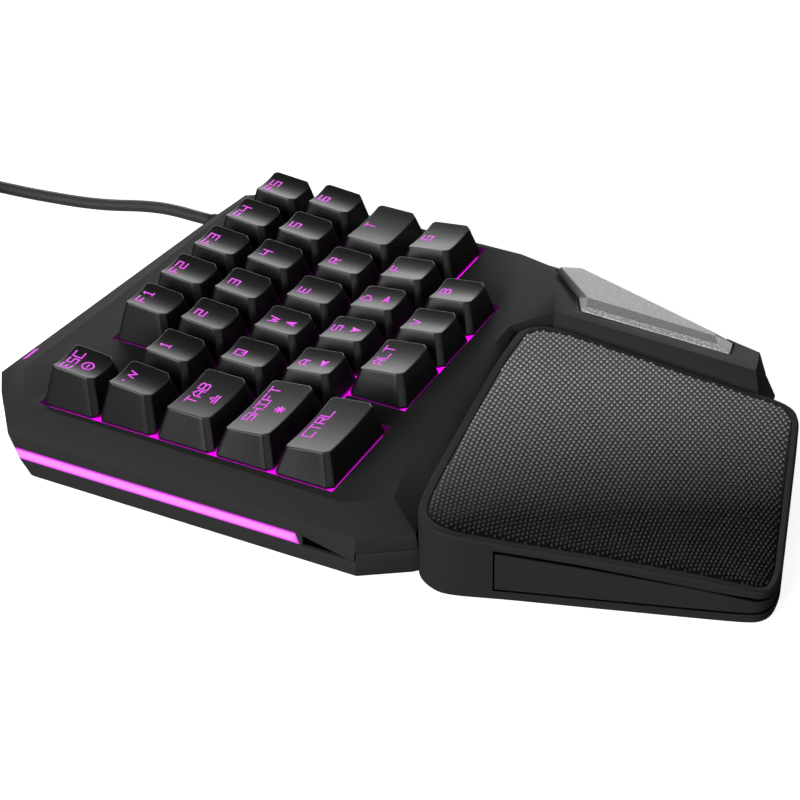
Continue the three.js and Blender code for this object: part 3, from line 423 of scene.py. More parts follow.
class KEYPAD_OT_stage(bpy.types.Operator):
    """Set the camera at the photograph's angle, the pale floor and the soft studio light"""

    bl_idname = "keypad.stage"
    bl_label = "Stage and Camera"

    def execute(self, context):
        scene = context.scene
        scene.view_settings.view_transform = "Standard"
        scene.view_settings.look = "None"
        self.camera(scene)
        self.floor()
        self.lights(scene)
        return {"FINISHED"}

    def camera(self, scene):
        azimuth, elevation, roll = (math.radians(turn) for turn in CAMERA_TURNS)
        level = math.cos(elevation)
        back = Vector((math.sin(azimuth) * level, -math.cos(azimuth) * level, math.sin(elevation)))
        right = (-back).cross(Vector((0, 0, 1))).normalized()
        up = right.cross(-back)
        across = math.cos(roll) * right + math.sin(roll) * up
        upward = -math.sin(roll) * right + math.cos(roll) * up
        data = bpy.data.cameras.new("camera")
        data.sensor_width = SENSOR_WIDTH
        data.lens = SENSOR_WIDTH * FOCAL_PIXELS / PICTURE_PIXELS
        data.clip_start = NEAR_CLIP
        turned = Matrix((across, upward, back)).transposed().to_4x4()
        camera = bpy.data.objects.new("camera", data)
        camera.matrix_world = Matrix.Translation(drawn(*CAMERA_PLACE)) @ turned
        scene.collection.objects.link(camera)
        scene.camera = camera

    def floor(self):
        """A floor that looks nearly white but throws little light back."""
        corners = [(x * FLOOR_HALF, y * FLOOR_HALF, 0) for x, y in ((-1, -1), (1, -1), (1, 1), (-1, 1))]
        floor = new_piece("floor", corners, [(0, 1, 2, 3)], smooth=False)
        material, tree, shader = new_material("pale_floor")
        seen = camera_ray(tree)
        pale = math_node(tree, "MULTIPLY_ADD", seen, FLOOR_SEEN_SHADE, FLOOR_SHADE)
        fill(tree, shader, {
            "Base Color": add(tree, "ShaderNodeCombineXYZ", {0: pale, 1: pale, 2: pale}).outputs[0],
            "Roughness": 0.9, "Specular IOR Level": 0.1, "Emission Color": (1, 1, 1),
            "Emission Strength": math_node(tree, "MULTIPLY", seen, FLOOR_SEEN_LIGHT)})
        coat(floor, material)

    def lights(self, scene):
        world = bpy.data.worlds.new("studio")
        scene.world = world
        world.use_nodes = True
        tree = world.node_tree
        fill(tree, tree.nodes["Background"], {"Color": (1, 1, 1), "Strength": ROOM_LIGHT})
        for name, place, size, power in LAMPS:
            data = bpy.data.lights.new(name, "AREA")
            data.shape = "RECTANGLE"
            data.size, data.size_y = size
            data.energy = power
            lamp = bpy.data.objects.new(name, data)
            lamp.location = place
            lamp.rotation_euler = (-Vector(place)).to_track_quat("-Z", "Y").to_euler()
            scene.collection.objects.link(lamp)


# Cord: the free stretch, then a flat coil of two layers, then the tail that enters the plug
CORD_ROUTE = [
    (128.5, 124.5, 6.1), (128.5, 130, 6.2), (128.4, 136, 6), (128.2, 142, 5.3), (127.9, 148, 4.3),
    (127.4, 154, 3.2), (126.8, 160, 2.4), (126.1, 166, 1.9), (125.3, 172, 1.7), (124.5, 178, 1.7),
    (123.7, 184, 1.7), (123, 190, 1.8), (122.3, 196, 2), (121.7, 202, 2.2), (121.3, 207, 2.3),
]
CORD_HEIGHT = 6
CORD_STEP = 2.6
CORD_SIDES = 14
GLAND_GAP = 0.3
COIL_CENTRE = (87.4, 226)
COIL_LEADS = (212, 217.7, 222)
COIL_TURNS = 5.25
COIL_RADIUS = 22.2
COIL_PITCH = 4.5
COIL_STEPS = 48
COIL_LOW = 2.1
COIL_CLIMB = 0.5
TAIL_SHARES = ((0.15, 0.97), (0.31, 0.75), (0.46, 0.35), (0.62, 0.06), (0.77, 0), (1, 0))
TAIL_REACH = 26
PLUG_HEIGHT = 3.5
BRAID_RADIUS = 2
BRAID_STRANDS = 8
BRAID_LAY = 1.15
BRAID_DEPTH = 0.2


def smooth_line(points, spacing):
    """Points on a smooth curve through the given ones, at about equal steps."""
    points = np.array([tuple(p) for p in points])
    ends = np.vstack([2 * points[0] - points[1], points, 2 * points[-1] - points[-2]])
    line = [points[0]]
    for i in range(1, len(ends) - 2):
        a, b, c, d = ends[i - 1:i + 3]
        count = max(1, int(round(np.linalg.norm(c - b) / spacing)))
        for k in range(1, count + 1):
            t = k / count
            square, cube = 2 * a - 5 * b + 4 * c - d, 3 * b - a - 3 * c + d
            line.append(0.5 * (2 * b + (c - a) * t + square * t * t + cube * t ** 3))
    return np.array(line)


def cord_path(start):
    """The cord's middle line: in on the lower layer, out on the upper one, then down to the plug."""
    centre_x, centre_y = COIL_CENTRE
    outer = COIL_RADIUS + COIL_TURNS * COIL_PITCH / 2
    high = COIL_LOW + COIL_PITCH
    points = [start] + [drawn(*p) for p in CORD_ROUTE]
    points += [drawn(centre_x + outer, y, COIL_LOW) for y in COIL_LEADS]
    for i in range(int(2 * COIL_TURNS * COIL_STEPS) + 1):
        turn = i / COIL_STEPS
        radius = outer - COIL_PITCH * (COIL_TURNS - abs(turn - COIL_TURNS))
        share = min(max((turn - COIL_TURNS) / COIL_CLIMB + 0.5, 0), 1)
        climb = share * share * (3 - 2 * share)
        angle = turn * 2 * math.pi
        points.append(drawn(
            centre_x + radius * math.cos(angle), centre_y + radius * math.sin(angle),
            COIL_LOW + COIL_PITCH * climb))
    for along, left in TAIL_SHARES:
        height = PLUG_HEIGHT + (high - PLUG_HEIGHT) * left
        points.append(drawn(centre_x - outer, centre_y - TAIL_REACH * along, height))
    return smooth_line(points, CORD_STEP * MM)


def tube_mesh(name, line, radius, sides):
    """A closed tube along a line, with a UV map that runs round it and along it in metres."""
    along = np.gradient(line, axis=0)
    along /= np.linalg.norm(along, axis=1)[:, None]
    side = np.cross(along, (0, 0, 1.0))
    side /= np.linalg.norm(side, axis=1)[:, None]
    up = np.cross(side, along)
    angles = (np.arange(sides) / sides * 2 * math.pi)[None, :, None]
    rings = line[:, None] + radius * (np.cos(angles) * side[:, None] + np.sin(angles) * up[:, None])
    points = rings.reshape(-1, 3)
    faces = band_faces(len(line), sides)
    faces.append(tuple(range(sides))[::-1])
    faces.append(tuple(range(len(points) - sides, len(points))))
    piece = new_piece(name, points, faces)
    travelled = np.concatenate([[0], np.cumsum(np.linalg.norm(np.diff(line, axis=0), axis=1))])
    layer = piece.data.uv_layers.new(name="UVMap")
    for polygon in piece.data.polygons:
        places = [divmod(v, sides) for v in polygon.vertices]
        rounds = [k for ring, k in places]
        wraps = len(rounds) == 4 and max(rounds) - min(rounds) > sides / 2
        for corner, (ring, k) in zip(polygon.loop_indices, places):
            turn = (k + sides if wraps and k < sides / 2 else k) / sides
            layer.data[corner].uv = (turn * 2 * math.pi * radius, travelled[ring])
    with edited(piece.data) as shape:
        bmesh.ops.recalc_face_normals(shape, faces=shape.faces)
    return piece


def braid_material():
    """Braided nylon: two sets of strands that cross at a slant."""
    material, tree, shader = new_material("braided_sleeve")
    around, along = axes(tree, "UV")[:2]
    strand = 2 * math.pi * BRAID_RADIUS * MM / BRAID_STRANDS
    waves = []
    for slant in (1, -1):
        strands = math_node(tree, "DIVIDE", around, strand)
        turned = math_node(tree, "MULTIPLY_ADD", along, slant / (BRAID_LAY * MM), strands)
        wave = math_node(tree, "SINE", math_node(tree, "MULTIPLY", turned, math.pi))
        waves.append(math_node(tree, "ABSOLUTE", wave))
    weave = math_node(tree, "MAXIMUM", *waves)
    bump = add(tree, "ShaderNodeBump", {"Strength": 0.8, "Distance": BRAID_DEPTH * MM, "Height": weave})
    # The colour runs from near black in the gaps between the strands to dark grey on their crowns: painted
    # shade in the gaps.
    fill(tree, shader, {
        "Base Color": ramp(tree, weave, (0.55, (0.002, 0.002, 0.003)), (1, (0.05, 0.052, 0.056))),
        "Roughness": 0.55, "Sheen Weight": 0.2, "Normal": bump.outputs[0]})
    return material


class KEYPAD_OT_cord(bpy.types.Operator):
    """Make the braided cord with its coil, and finish the gland, the tie and the plug"""

    bl_idname = "keypad.cord"
    bl_label = "Cord and Plug"

    def execute(self, context):
        diameter = context.scene.keypad_shape.cord_diameter
        low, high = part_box("cable_gland")
        start = Vector(((low[0] + high[0]) / 2, high[1] + GLAND_GAP * MM, CORD_HEIGHT * MM + DRAWING.z))
        line = cord_path(start)
        cord = tube_mesh("braided_cord", line, diameter / 2, CORD_SIDES)
        coat(cord, braid_material())
        settle(cord, CASE_BODY, "braid", "cable", "cable_coil")
        rubber = moulded("cord_rubber", linear("161617"), 0.6, 0.3, 0.25)
        for node in ("cable_gland", "plug_body", "coil_tie"):
            coat(NODES[node], rubber)
        return {"FINISHED"}


# Case: the corners in a box of the drawing move by a shift. The shoulder comes up and nearer to the palm
# rest, one corner closes on it, and the near wall of the key well comes nearer to the caps.
CASE_CORNER_SHIFT = (0.41, -0.43, 0)
UPPER_MOVES = (
    ((14, -19, 12.5), (16, -17, 13.5), (0, -3.6, 2.7)), ((29, -16, 12.5), (31, -14, 13.5), (0.2, -4, 2.6)),
    ((49, -14, 12.5), (51, -12, 13.5), (0, -3.2, 2.6)), ((85, -11, 12.5), (87, -9, 13.5), (0, -0.5, 2.6)),
    ((96.5, -10.5, 12.5), (97.5, -9, 13.5), (0, -0.3, 1.6)),
    ((-2.5, -27, 8.2), (-1.2, -25.2, 13.5), CASE_CORNER_SHIFT),
    ((-1, -0.6, 13.9), (35, -0.4, 18.1), (0, 0.3, 0)), ((41, -0.6, 13.9), (106, -0.4, 18.1), (0, 0.45, 0)),
)
LOWER_MOVES = (((-2.5, -27, 1), (-1.3, -26, 8.2), CASE_CORNER_SHIFT),)
# The box of the seam's wedge groove, whose faces are painted black as shade
SEAM_WEDGE_SHADE = ((-10.9, -10.7, 5.9), (-10.3, 3, 9.8))


def recess_painted_shade():
    """Black plastic for the inside of narrow gaps: painted shade."""
    return moulded("recess_painted_shade", linear("060606"), 0.9, 0.24, 0.2, 0.1, specular=0.0)


def painted_black_shade(piece, low, high):
    """Give the faces whose centres lie in a box of the drawing the black of a gap: painted shade."""
    piece.data.materials.append(recess_painted_shade())
    for face in piece.data.polygons:
        if within(low, face.center, high):
            face.material_index = 1


class KEYPAD_OT_case(bpy.types.Operator):
    """Round the moulded edges of the two case shells, give them grained plastic and paint the seam's wedge
    groove black as shade
    """

    bl_idname = "keypad.case"
    bl_label = "Case"

    def execute(self, context):
        finish, width = context.scene.keypad_finish, context.scene.keypad_shape.edge_round
        upper = moulded("upper_case_plastic", finish.case_colour, 0.6, 0.22, 0.35, 0.12, specular=0.15)
        lower = moulded("lower_case_plastic", finish.tray_colour, 0.6, 0.25, 0.35, 0.12, specular=0.15)
        top = softened("top_case", "upper_case", width, UPPER_MOVES)
        coat(top, upper)
        settle(top, CASE_BODY, "case", "top_case")
        # The faces in the seam's wedge groove are painted black as shade.
        painted_black_shade(top, *SEAM_WEDGE_SHADE)
        tray = softened("bottom_case", "lower_case", width, LOWER_MOVES)
        coat(tray, lower)
        settle(tray, CASE_BODY, "lower_case", "bottom_case")
        return {"FINISHED"}


# Keys: where each key's legend starts, across and down from its cell's far-left corner
LEGEND_STARTS = {
    "ctrl": (10.1, 4.0), "alt": (7.5, 4.2), "v": (7.5, 4.2), "b": (7.7, 4.2), "shift": (9.7, 4.3),
    "a": (7.5, 4.1), "s": (8.8, 3.8), "d": (8.3, 3.8), "f": (8.2, 3.7), "g": (9.8, 3.9), "tab": (9.0, 5.0),
    "q": (7.5, 4.9), "w": (8.3, 4.6), "e": (7.4, 4.5), "r": (7.4, 4.5), "t": (12.2, 4.1),
    "mark": (5.6, 4.7), "1": (7.4, 4.8), "2": (7.8, 4.7), "3": (8.0, 4.7), "4": (8.0, 4.6),
    "5": (7.6, 4.3), "6": (7.0, 4.3), "esc": (4.9, 4.4), "f1": (6.5, 4.2), "f2": (5.8, 4.3),
    "f3": (5.5, 4.2), "f4": (5.6, 4.2), "f5": (5.2, 4.5),
}
MARK_WORD = "'~"
KEY_SIGNS = {
    "w": ("up", 10.0, 11.7), "a": ("left", 9.8, 11.7), "s": ("down", 10.6, 11.4),
    "d": ("right", 10.4, 11.7), "esc": ("ring", 9.2, 11.0), "tab": ("tab", 13.7, 11.8),
    "shift": ("star", 17.3, 12.1),
}

# Letters as strokes between the points of a lattice, 4 steps wide and 6 high. A bar starts a new stroke.
GLYPHS = {
    "A": "00 04 26 44 40|02 42", "B": "00 06 36 45 44 33 03|33 42 41 30 00", "C": "46 06 00 40",
    "D": "00 06 26 44 42 20 00", "E": "46 06 00 40|03 33", "F": "46 06 00|03 33",
    "G": "46 06 00 40 43 23", "H": "00 06|40 46|03 43", "I": "06 46|26 20|00 40", "L": "06 00 40",
    "Q": "06 00 40 46 06|22 40", "R": "00 06 46 43 03|23 40", "S": "46 06 03 43 40 00", "T": "06 46|26 20",
    "V": "06 20 46", "W": "06 10 24 30 46", "1": "15 26 20|10 30", "2": "06 46 43 03 00 40",
    "3": "06 46 40 00|13 43", "4": "06 03 43|46 40", "5": "46 06 03 43 40 00", "6": "46 06 00 40 43 03",
    "~": "01 15 31 45", "'": "25 24",
}
LETTER_WIDTH = 2.75
LETTER_PITCH = 3.65
LETTER_HEIGHT = 3.0
ESC_LETTER_WIDTH = 2.2
ESC_LETTER_PITCH = 3.2
RING_RADIUS = 1.7
RAY_LENGTH = 1.5
STROKE_STEP = 0.7
STROKE_LAP_SHARE = 0.8
STROKE_LEVELS = (-0.12, 0.03)

# Caps: the rows' heights over the deck, and the slopes of their tops from near to far
ROW_HEIGHTS = (8.47, 8.47, 8.82, 11.24, 11.24)
ROW_RISES = (-0.12, -0.12, 0.013, 0.082, 0.082)
CAP_MARGIN = 0.42
SKIRT_DROP = 0.7
TOP_SIDE = 3.12
TOP_FAR = 2.71
TOP_NEAR = 2.88
SKIRT_CORNER = 1.81
TOP_CORNER = 1.64
FAR_CORNER = 0.9
SIDE_STEPS = 8
DISH_MARGIN = 0.3
TOP_WALL = 1.4
STEM_HALF = 2.8
STEM_LAP = 0.3
WALL_SHARE = 0.87
CEILING_SHARE = 0.74
EASE_END = 1.6
TOP_SHARES = (0.82, 0.66, 0.5, 0.34, 0.18)
SQUARE = ((-1, -1), (1, -1), (1, 1), (-1, 1))
BOX_FACES = ((3, 2, 1, 0), (4, 5, 6, 7), (0, 1, 5, 4), (1, 2, 6, 5), (2, 3, 7, 6), (3, 0, 4, 7))


class Key:
    """One key's cell and the dished surface of its cap"""

    def __init__(self, label, dish):
        low, high = ((Vector(corner) - DRAWING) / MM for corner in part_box(f"key_{label}"))
        self.label = label
        self.left, self.near = low.x - CAP_MARGIN, low.y - CAP_MARGIN
        self.right, self.far = high.x + CAP_MARGIN, high.y + CAP_MARGIN
        self.row = round(self.near / KEY_PITCH)
        self.stem_low = low.z
        self.dish = dish / MM
        self.middle = ((self.left + self.right) / 2, (self.near + self.far) / 2)
        self.half = (self.right - self.left) / 2 - TOP_SIDE - DISH_MARGIN

    def top(self, x, y):
        away = min(abs(x - self.middle[0]) / self.half, 1)
        flat = DECK_HEIGHT + ROW_HEIGHTS[self.row] + ROW_RISES[self.row] * (y - self.middle[1])
        return flat - self.dish * (1 - away * away)


def rounded_outline(left, right, near, far, corner, ease):
    """Points anticlockwise round a cap: eased chamfers at its near corners, small ones at the far corners."""
    corners = [Vector(place) for place in (
        (left + corner, near), (right - corner, near), (right, near + corner), (right, far - FAR_CORNER),
        (right - FAR_CORNER, far), (left + FAR_CORNER, far), (left, far - FAR_CORNER), (left, near + corner))]
    points = []
    for i, here in enumerate(corners):
        before, after = corners[i - 1], corners[(i + 1) % len(corners)]
        start = here + (before - here).normalized() * ease
        end = here + (after - here).normalized() * ease
        points += [bend(start, here, end, t) for t in (0, 0.5, 1)]
        starts_a_side = i % 2 == 0
        if starts_a_side:
            following = after + (here - after).normalized() * ease
            points += [end.lerp(following, k / SIDE_STEPS) for k in range(1, SIDE_STEPS)]
    return points


def cap_mesh(key, ease):
    """The outer skin of a keycap with a dished top, a hollow underneath and a stem."""
    ease = ease / MM
    centre_x, centre_y = key.middle
    reach_x = (key.right - key.left) / 2 - TOP_SIDE
    reach_y = (key.far - key.near - TOP_FAR - TOP_NEAR) / 2
    skirt_height = DECK_HEIGHT - SKIRT_DROP

    def drawn_in(distance):
        places = [(
            p.x + (centre_x - p.x) / reach_x * distance, p.y + (centre_y - p.y) / reach_y * distance)
            for p in edge]
        return [Vector((x, y, key.top(x, y))) for x, y in places]

    def shrunk(ring, share, height):
        places = [(centre_x + (p.x - centre_x) * share, centre_y + (p.y - centre_y) * share) for p in ring]
        return [Vector((x, y, height(x, y))) for x, y in places]

    def mixed(start, end, share):
        return [a.lerp(b, share) for a, b in zip(start, end)]

    outline = rounded_outline(
        key.left + CAP_MARGIN, key.right - CAP_MARGIN, key.near + CAP_MARGIN, key.far - CAP_MARGIN,
        SKIRT_CORNER, ease)
    skirt = [Vector((*p, DECK_HEIGHT)) for p in outline]
    foot = [Vector((*p, skirt_height)) for p in outline]
    edge = [Vector((*p, key.top(*p))) for p in rounded_outline(
        key.left + TOP_SIDE, key.right - TOP_SIDE, key.near + TOP_NEAR, key.far - TOP_FAR, TOP_CORNER, ease)]
    ceiling = min(p.z for p in edge) - key.dish - TOP_WALL
    under = shrunk(foot, WALL_SHARE, lambda x, y: skirt_height)
    down = [(s - e).normalized() * ease for s, e in zip(skirt, edge)]
    inward = drawn_in(ease)
    rings = [shrunk(edge, CEILING_SHARE, lambda x, y: ceiling), under, mixed(under, foot, 0.9), foot]
    rings += [mixed(skirt, edge, share) for share in (0, 0.02, 0.5)]
    rings.append([e + d * EASE_END for e, d in zip(edge, down)])
    first_band = len(rings)
    for t in (0, 0.25, 0.5, 0.75, 1):
        rings.append([bend(e + d, e, b, t) for e, d, b in zip(edge, down, inward)])
    rings.append(drawn_in(ease * EASE_END))
    rings += [shrunk(inward, share, key.top) for share in TOP_SHARES]

    count = len(outline)
    points = [drawn(*p) for ring in rings for p in ring]
    # The faces of the edge's rounding, which take the painted highlight
    painted_highlight_bands = range((first_band + 1) * count, (first_band + 3) * count)
    faces = band_faces(len(rings), count)
    last, middle = len(points) - count, len(points)
    points.append(drawn(*key.middle, key.top(*key.middle)))
    faces += [(last + i, last + (i + 1) % count, middle) for i in range(count)]
    faces.append(tuple(range(count))[::-1])
    stem = len(points)
    for z in (key.stem_low, ceiling + STEM_LAP):
        points += [drawn(centre_x + x * STEM_HALF, centre_y + y * STEM_HALF, z) for x, y in SQUARE]
    faces += [tuple(stem + i for i in quad) for quad in BOX_FACES]
    return points, faces, painted_highlight_bands


def sign_strokes(kind):
    """The strokes of a small sign, about its own middle."""
    if kind == "ring":
        angles = np.linspace(0, 2 * math.pi, 17)
        circle = [(RING_RADIUS * math.cos(a), RING_RADIUS * math.sin(a)) for a in angles]
        return [circle, [(-0.7, 0), (0.7, 0)]]
    if kind == "star":
        rays = [(RAY_LENGTH * math.cos(a), RAY_LENGTH * math.sin(a)) for a in np.arange(4) * math.pi / 4]
        return [[(-x, -y), (x, y)] for x, y in rays]
    if kind == "tab":
        return [[(-1.9, -1.2), (1.9, -1.2)], [(-1.9, -0.3), (1.9, -0.3)], [(-0.6, 0.4), (0, 1.0), (0.6, 0.4)]]
    arrow = [
        [(-0.95, -1.3), (0, 1.45), (0.95, -1.3)], [(-0.6, -1.1), (0, -0.55), (0.6, -1.1)],
        [(0, -0.4), (0, 0.9)], [(-0.45, -0.6), (0, 0.6), (0.45, -0.6)]]
    turn = math.radians({"up": 0, "left": 90, "down": 180, "right": 270}[kind])
    c, s = math.cos(turn), math.sin(turn)
    return [[(c * x - s * y, s * x + c * y) for x, y in stroke] for stroke in arrow]


def legend_strokes(key):
    """The strokes on one cap, of its word and its sign."""
    start, drop = LEGEND_STARTS[key.label]
    word = MARK_WORD if key.label == "mark" else key.label.upper()
    narrow = key.label == "esc"
    pitch = ESC_LETTER_PITCH if narrow else LETTER_PITCH
    width = ESC_LETTER_WIDTH if narrow else LETTER_WIDTH
    strokes = []
    for n, letter in enumerate(word):
        for line in GLYPHS[letter].split("|"):
            strokes.append([(
                key.left + start + n * pitch + int(c[0]) / 4 * width,
                key.far - drop - LETTER_HEIGHT * (1 - int(c[1]) / 6)) for c in line.split()])
    if key.label in KEY_SIGNS:
        kind, x, y = KEY_SIGNS[key.label]
        strokes += [[(key.left + x + a, key.far - y + b) for a, b in stroke] for stroke in sign_strokes(kind)]
    return strokes


def legend_mesh(key, width):
    """Raised strokes that follow the dished top."""
    half = width / MM / 2
    points, faces = [], []
    for stroke in legend_strokes(key):
        for a, b in zip(stroke, stroke[1:]):
            a, b = Vector(a), Vector(b)
            along = (b - a).normalized()
            side = Vector((-along.y, along.x)) * half
            a, b = a - along * half * STROKE_LAP_SHARE, b + along * half * STROKE_LAP_SHARE
            steps = max(1, math.ceil((b - a).length / STROKE_STEP))
            base = len(points)
            for k in range(steps + 1):
                p = a.lerp(b, k / steps)
                for q in (p - side, p + side):
                    points += [drawn(*q, key.top(*q) + lift) for lift in STROKE_LEVELS]
            for i in range(base, base + 4 * steps, 4):
                faces += [
                    (i + 1, i + 5, i + 7, i + 3), (i, i + 2, i + 6, i + 4),
                    (i, i + 4, i + 5, i + 1), (i + 2, i + 3, i + 7, i + 6)]
            end = base + 4 * steps
            faces += [(base, base + 1, base + 3, base + 2), (end, end + 2, end + 3, end + 1)]
    return points, faces


class KEYPAD_OT_keys(bpy.types.Operator):
    """Make each keycap with its dished top, eased edges with a painted highlight, and lit legend"""

    bl_idname = "keypad.keys"
    bl_label = "Keys and Legends"

    def execute(self, context):
        finish, shape = context.scene.keypad_finish, context.scene.keypad_shape
        plastic = moulded("keycap_plastic", finish.cap_colour, 0.34, 0.16, 0.25, 0.1)
        # The eased edges take a copy of the cap plastic nine times paler: a painted highlight.
        edge = moulded("keycap_edge_painted_highlight", [9 * c for c in finish.cap_colour], 0.3, 0.16, 0.1, 0.1, specular=0.8)
        legend = glowing("lit_legend", finish.legend_colour, 0.02)
        for label in LEGEND_STARTS:
            key = Key(label, shape.dish_depth)
            points, faces, painted_highlight_bands = cap_mesh(key, shape.cap_round)
            marks, mark_faces = legend_mesh(key, shape.stroke)
            mark_faces = [tuple(len(points) + i for i in face) for face in mark_faces]
            cap = new_piece(f"cap_{label}", points + marks, faces + mark_faces)
            coat(cap, plastic, legend, edge)
            slots = [2 if i in painted_highlight_bands else 0 for i in range(len(faces))] + [1] * len(mark_faces)
            cap.data.polygons.foreach_set("material_index", slots)
            settle(cap, label, "keycap", f"key_{label}")
        return {"FINISHED"}


# Lights in the keypad
STRIP_END = 5
STRIP_LIFT_SHARE = 0.05


def strip_tone(tree):
    """The strip is palest along its middle, and deep at its borders and its near end."""
    x, y, z = axes(tree)
    low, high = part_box("light_strip")
    middle, half = (low[2] + high[2]) / 2, (high[2] - low[2]) / 2
    off = math_node(tree, "ABSOLUTE", math_node(tree, "SUBTRACT", z, middle + STRIP_LIFT_SHARE * half))
    border = math_node(tree, "DIVIDE", off, half)
    to_end = math_node(tree, "SUBTRACT", low[1] + STRIP_END * MM, y)
    near = math_node(tree, "DIVIDE", to_end, STRIP_END * MM)
    depth = math_node(tree, "MAXIMUM", border, near, clamp=True)
    return ramp(tree, depth, (0.5, linear("ff8dff")), (0.95, linear("c91fd0")))


class KEYPAD_OT_glow(bpy.types.Operator):
    """Light the key plate, the side strip and the corner light"""

    bl_idname = "keypad.glow"
    bl_label = "Lights"

    def execute(self, context):
        colour = context.scene.keypad_finish.glow_colour
        coat(NODES["key_plate"], glowing("lit_key_plate", colour, 2.2))
        coat(NODES["light_strip"], glowing("lit_strip", linear("ff91ff"), 0.1, strip_tone))
        coat(NODES["corner_light"], glowing("lit_corner", linear("d63ad4"), 0.05))
        return {"FINISHED"}


# Thumb key: its foot and its top as shares of the arm's width and reach. Slopes are across and along.
ARM_CORNER = (104.8, -87.0)
ARM_SIZE = (38.7, 70.8)
ARM_EDGE = (109.26, -16.2)
ARM_SLOPES = (0.22, 0.047)
THUMB_FOOT_SHARES = (
    (0.315, 0.246), (0.525, 0.274), (0.58, 0.322), (0.967, 1.095), (0.94, 1.192), (0.537, 0.99),
    (0.292, 0.922))
THUMB_TOP_SHARES = (
    (0.39, 0.315), (0.491, 0.347), (0.538, 0.363), (0.907, 1.066), (0.811, 1.146), (0.452, 0.932),
    (0.333, 0.908))
THUMB_SLOPES = (0.13, 0.0714)
THUMB_FOLD = 5
THUMB_FOOT_HEIGHT = 10.4
THUMB_SHOULDER_HEIGHT = 10.7
THUMB_CREST = 2.4
THUMB_ROUND = 0.3


def arm_place(x, y):
    return ARM_CORNER[0] + ARM_SIZE[0] * x, ARM_CORNER[1] + ARM_SIZE[1] * y


def arm_top(x, y):
    """Height of the arm's sloping top face."""
    return DECK_HEIGHT - ARM_SLOPES[1] * (ARM_EDGE[1] - y) - ARM_SLOPES[0] * (x - ARM_EDGE[0])


def thumb_rings():
    """The thumb key's foot, shoulder and top."""
    foot = [arm_place(*share) for share in THUMB_FOOT_SHARES]
    top = [arm_place(*share) for share in THUMB_TOP_SHARES]
    fold_x, fold_y = top[THUMB_FOLD]
    crest = arm_top(fold_x, fold_y) + THUMB_CREST
    across, along = THUMB_SLOPES
    return (
        [(x, y, THUMB_FOOT_HEIGHT) for x, y in foot],
        [(x, y, max(arm_top(x, y), THUMB_SHOULDER_HEIGHT)) for x, y in foot],
        [(x, y, crest - across * max(x - fold_x, 0) - along * (fold_y - y)) for x, y in top])


def silver_paint(name, colour, fleck):
    material, tree, shader = new_material(name)
    flecks = add_group(tree, "metal_flecks", {"Color": colour, "Fleck Size": 0.34, "Fleck": fleck})
    fill(tree, shader, {
        "Base Color": flecks["Color"], "Metallic": 0.2,
        "Roughness": math_node(tree, "MULTIPLY_ADD", flecks["Mask"], -0.15, 0.46)})
    return material


class KEYPAD_OT_thumb_key(bpy.types.Operator):
    """Make the silver thumb key with its folded top and eased edges, with painted shade and a painted
    highlight on some faces
    """

    bl_idname = "keypad.thumb_key"
    bl_label = "Thumb Key"

    def execute(self, context):
        rings = thumb_rings()
        count = len(THUMB_FOOT_SHARES)
        top = 2 * count
        faces = [tuple(range(count))[::-1]] + band_faces(len(rings), count)
        faces += [tuple(top + i for i in panel) for panel in ((0, 1, 5, 6), (5, 1, 2, 3, 4))]
        key = new_piece("silver_thumb_key", [drawn(*p) for ring in rings for p in ring], faces)
        colour = context.scene.keypad_finish.silver_colour
        # Three copies of one silver paint: the top as it is, a darker copy on the fold's faces as painted
        # shade, and a paler, more flecked copy on the near bevel as a painted highlight.
        coat(key, *(
            silver_paint(name, [min(share * c, 0.9) for c in colour], fleck) for name, share, fleck in (
                ("silver_top", 1, 0.3), ("silver_fold_painted_shade", 0.62, 0.4), ("silver_bevel_painted_highlight", 1.5, 0.9))))
        last_side = 2 * count
        slots = {last_side: 2, last_side - 1: 1, last_side - 2: 1, last_side + 1: 1}
        key.data.polygons.foreach_set("material_index", [slots.get(i, 0) for i in range(len(faces))])
        settle(rounded(key, THUMB_ROUND * MM, angle=6), "thumb", "silver", "thumb_key")
        return {"FINISHED"}


# Palm rest: its outline as shares of its width, depth and height
PALM_CORNER = (-6.9, -118.0)
PALM_SIZE = (111.2, 107.1, 20.7)
PALM_SHARES = (
    (0.021, 0.825, 0.995), (0, 0.775, 1), (0.008, 0.727, 0.966), (0.05, 0.601, 0.879),
    (0.108, 0.411, 0.787), (0.187, 0.155, 0.633), (0.216, 0.063, 0.549), (0.236, 0.015, 0.492),
    (0.272, -0.003, 0.46), (0.34, 0.003, 0.446), (0.939, 0.182, 0.502), (0.983, 0.21, 0.517),
    (1, 0.255, 0.531), (1, 0.9, 0.783), (0.984, 0.968, 0.821), (0.927, 1.003, 0.85),
    (0.776, 0.991, 0.879), (0.629, 0.968, 0.903), (0.334, 0.918, 0.947), (0.198, 0.895, 0.971),
    (0.094, 0.872, 0.986), (0.049, 0.853, 0.99),
)
PALM_RING = [
    Vector((PALM_CORNER[0] + x * PALM_SIZE[0], PALM_CORNER[1] + y * PALM_SIZE[1], z * PALM_SIZE[2]))
    for x, y, z in PALM_SHARES]
PALM_RIM = 2.6
PALM_WALL = 2.6
PALM_EASE = 3.2
EASE_STEPS = 4
NARROW_SIDES = range(7, 13)
NARROW_SHARE = 0.79
LEAST_TURN = 0.2
LEDGE_LOW = 4.6
LEDGE_HIGH = 12.2
LEDGE_WALL = 1.8
LEDGE_WIDTH = 2.2
SHARP_ANGLE = 30

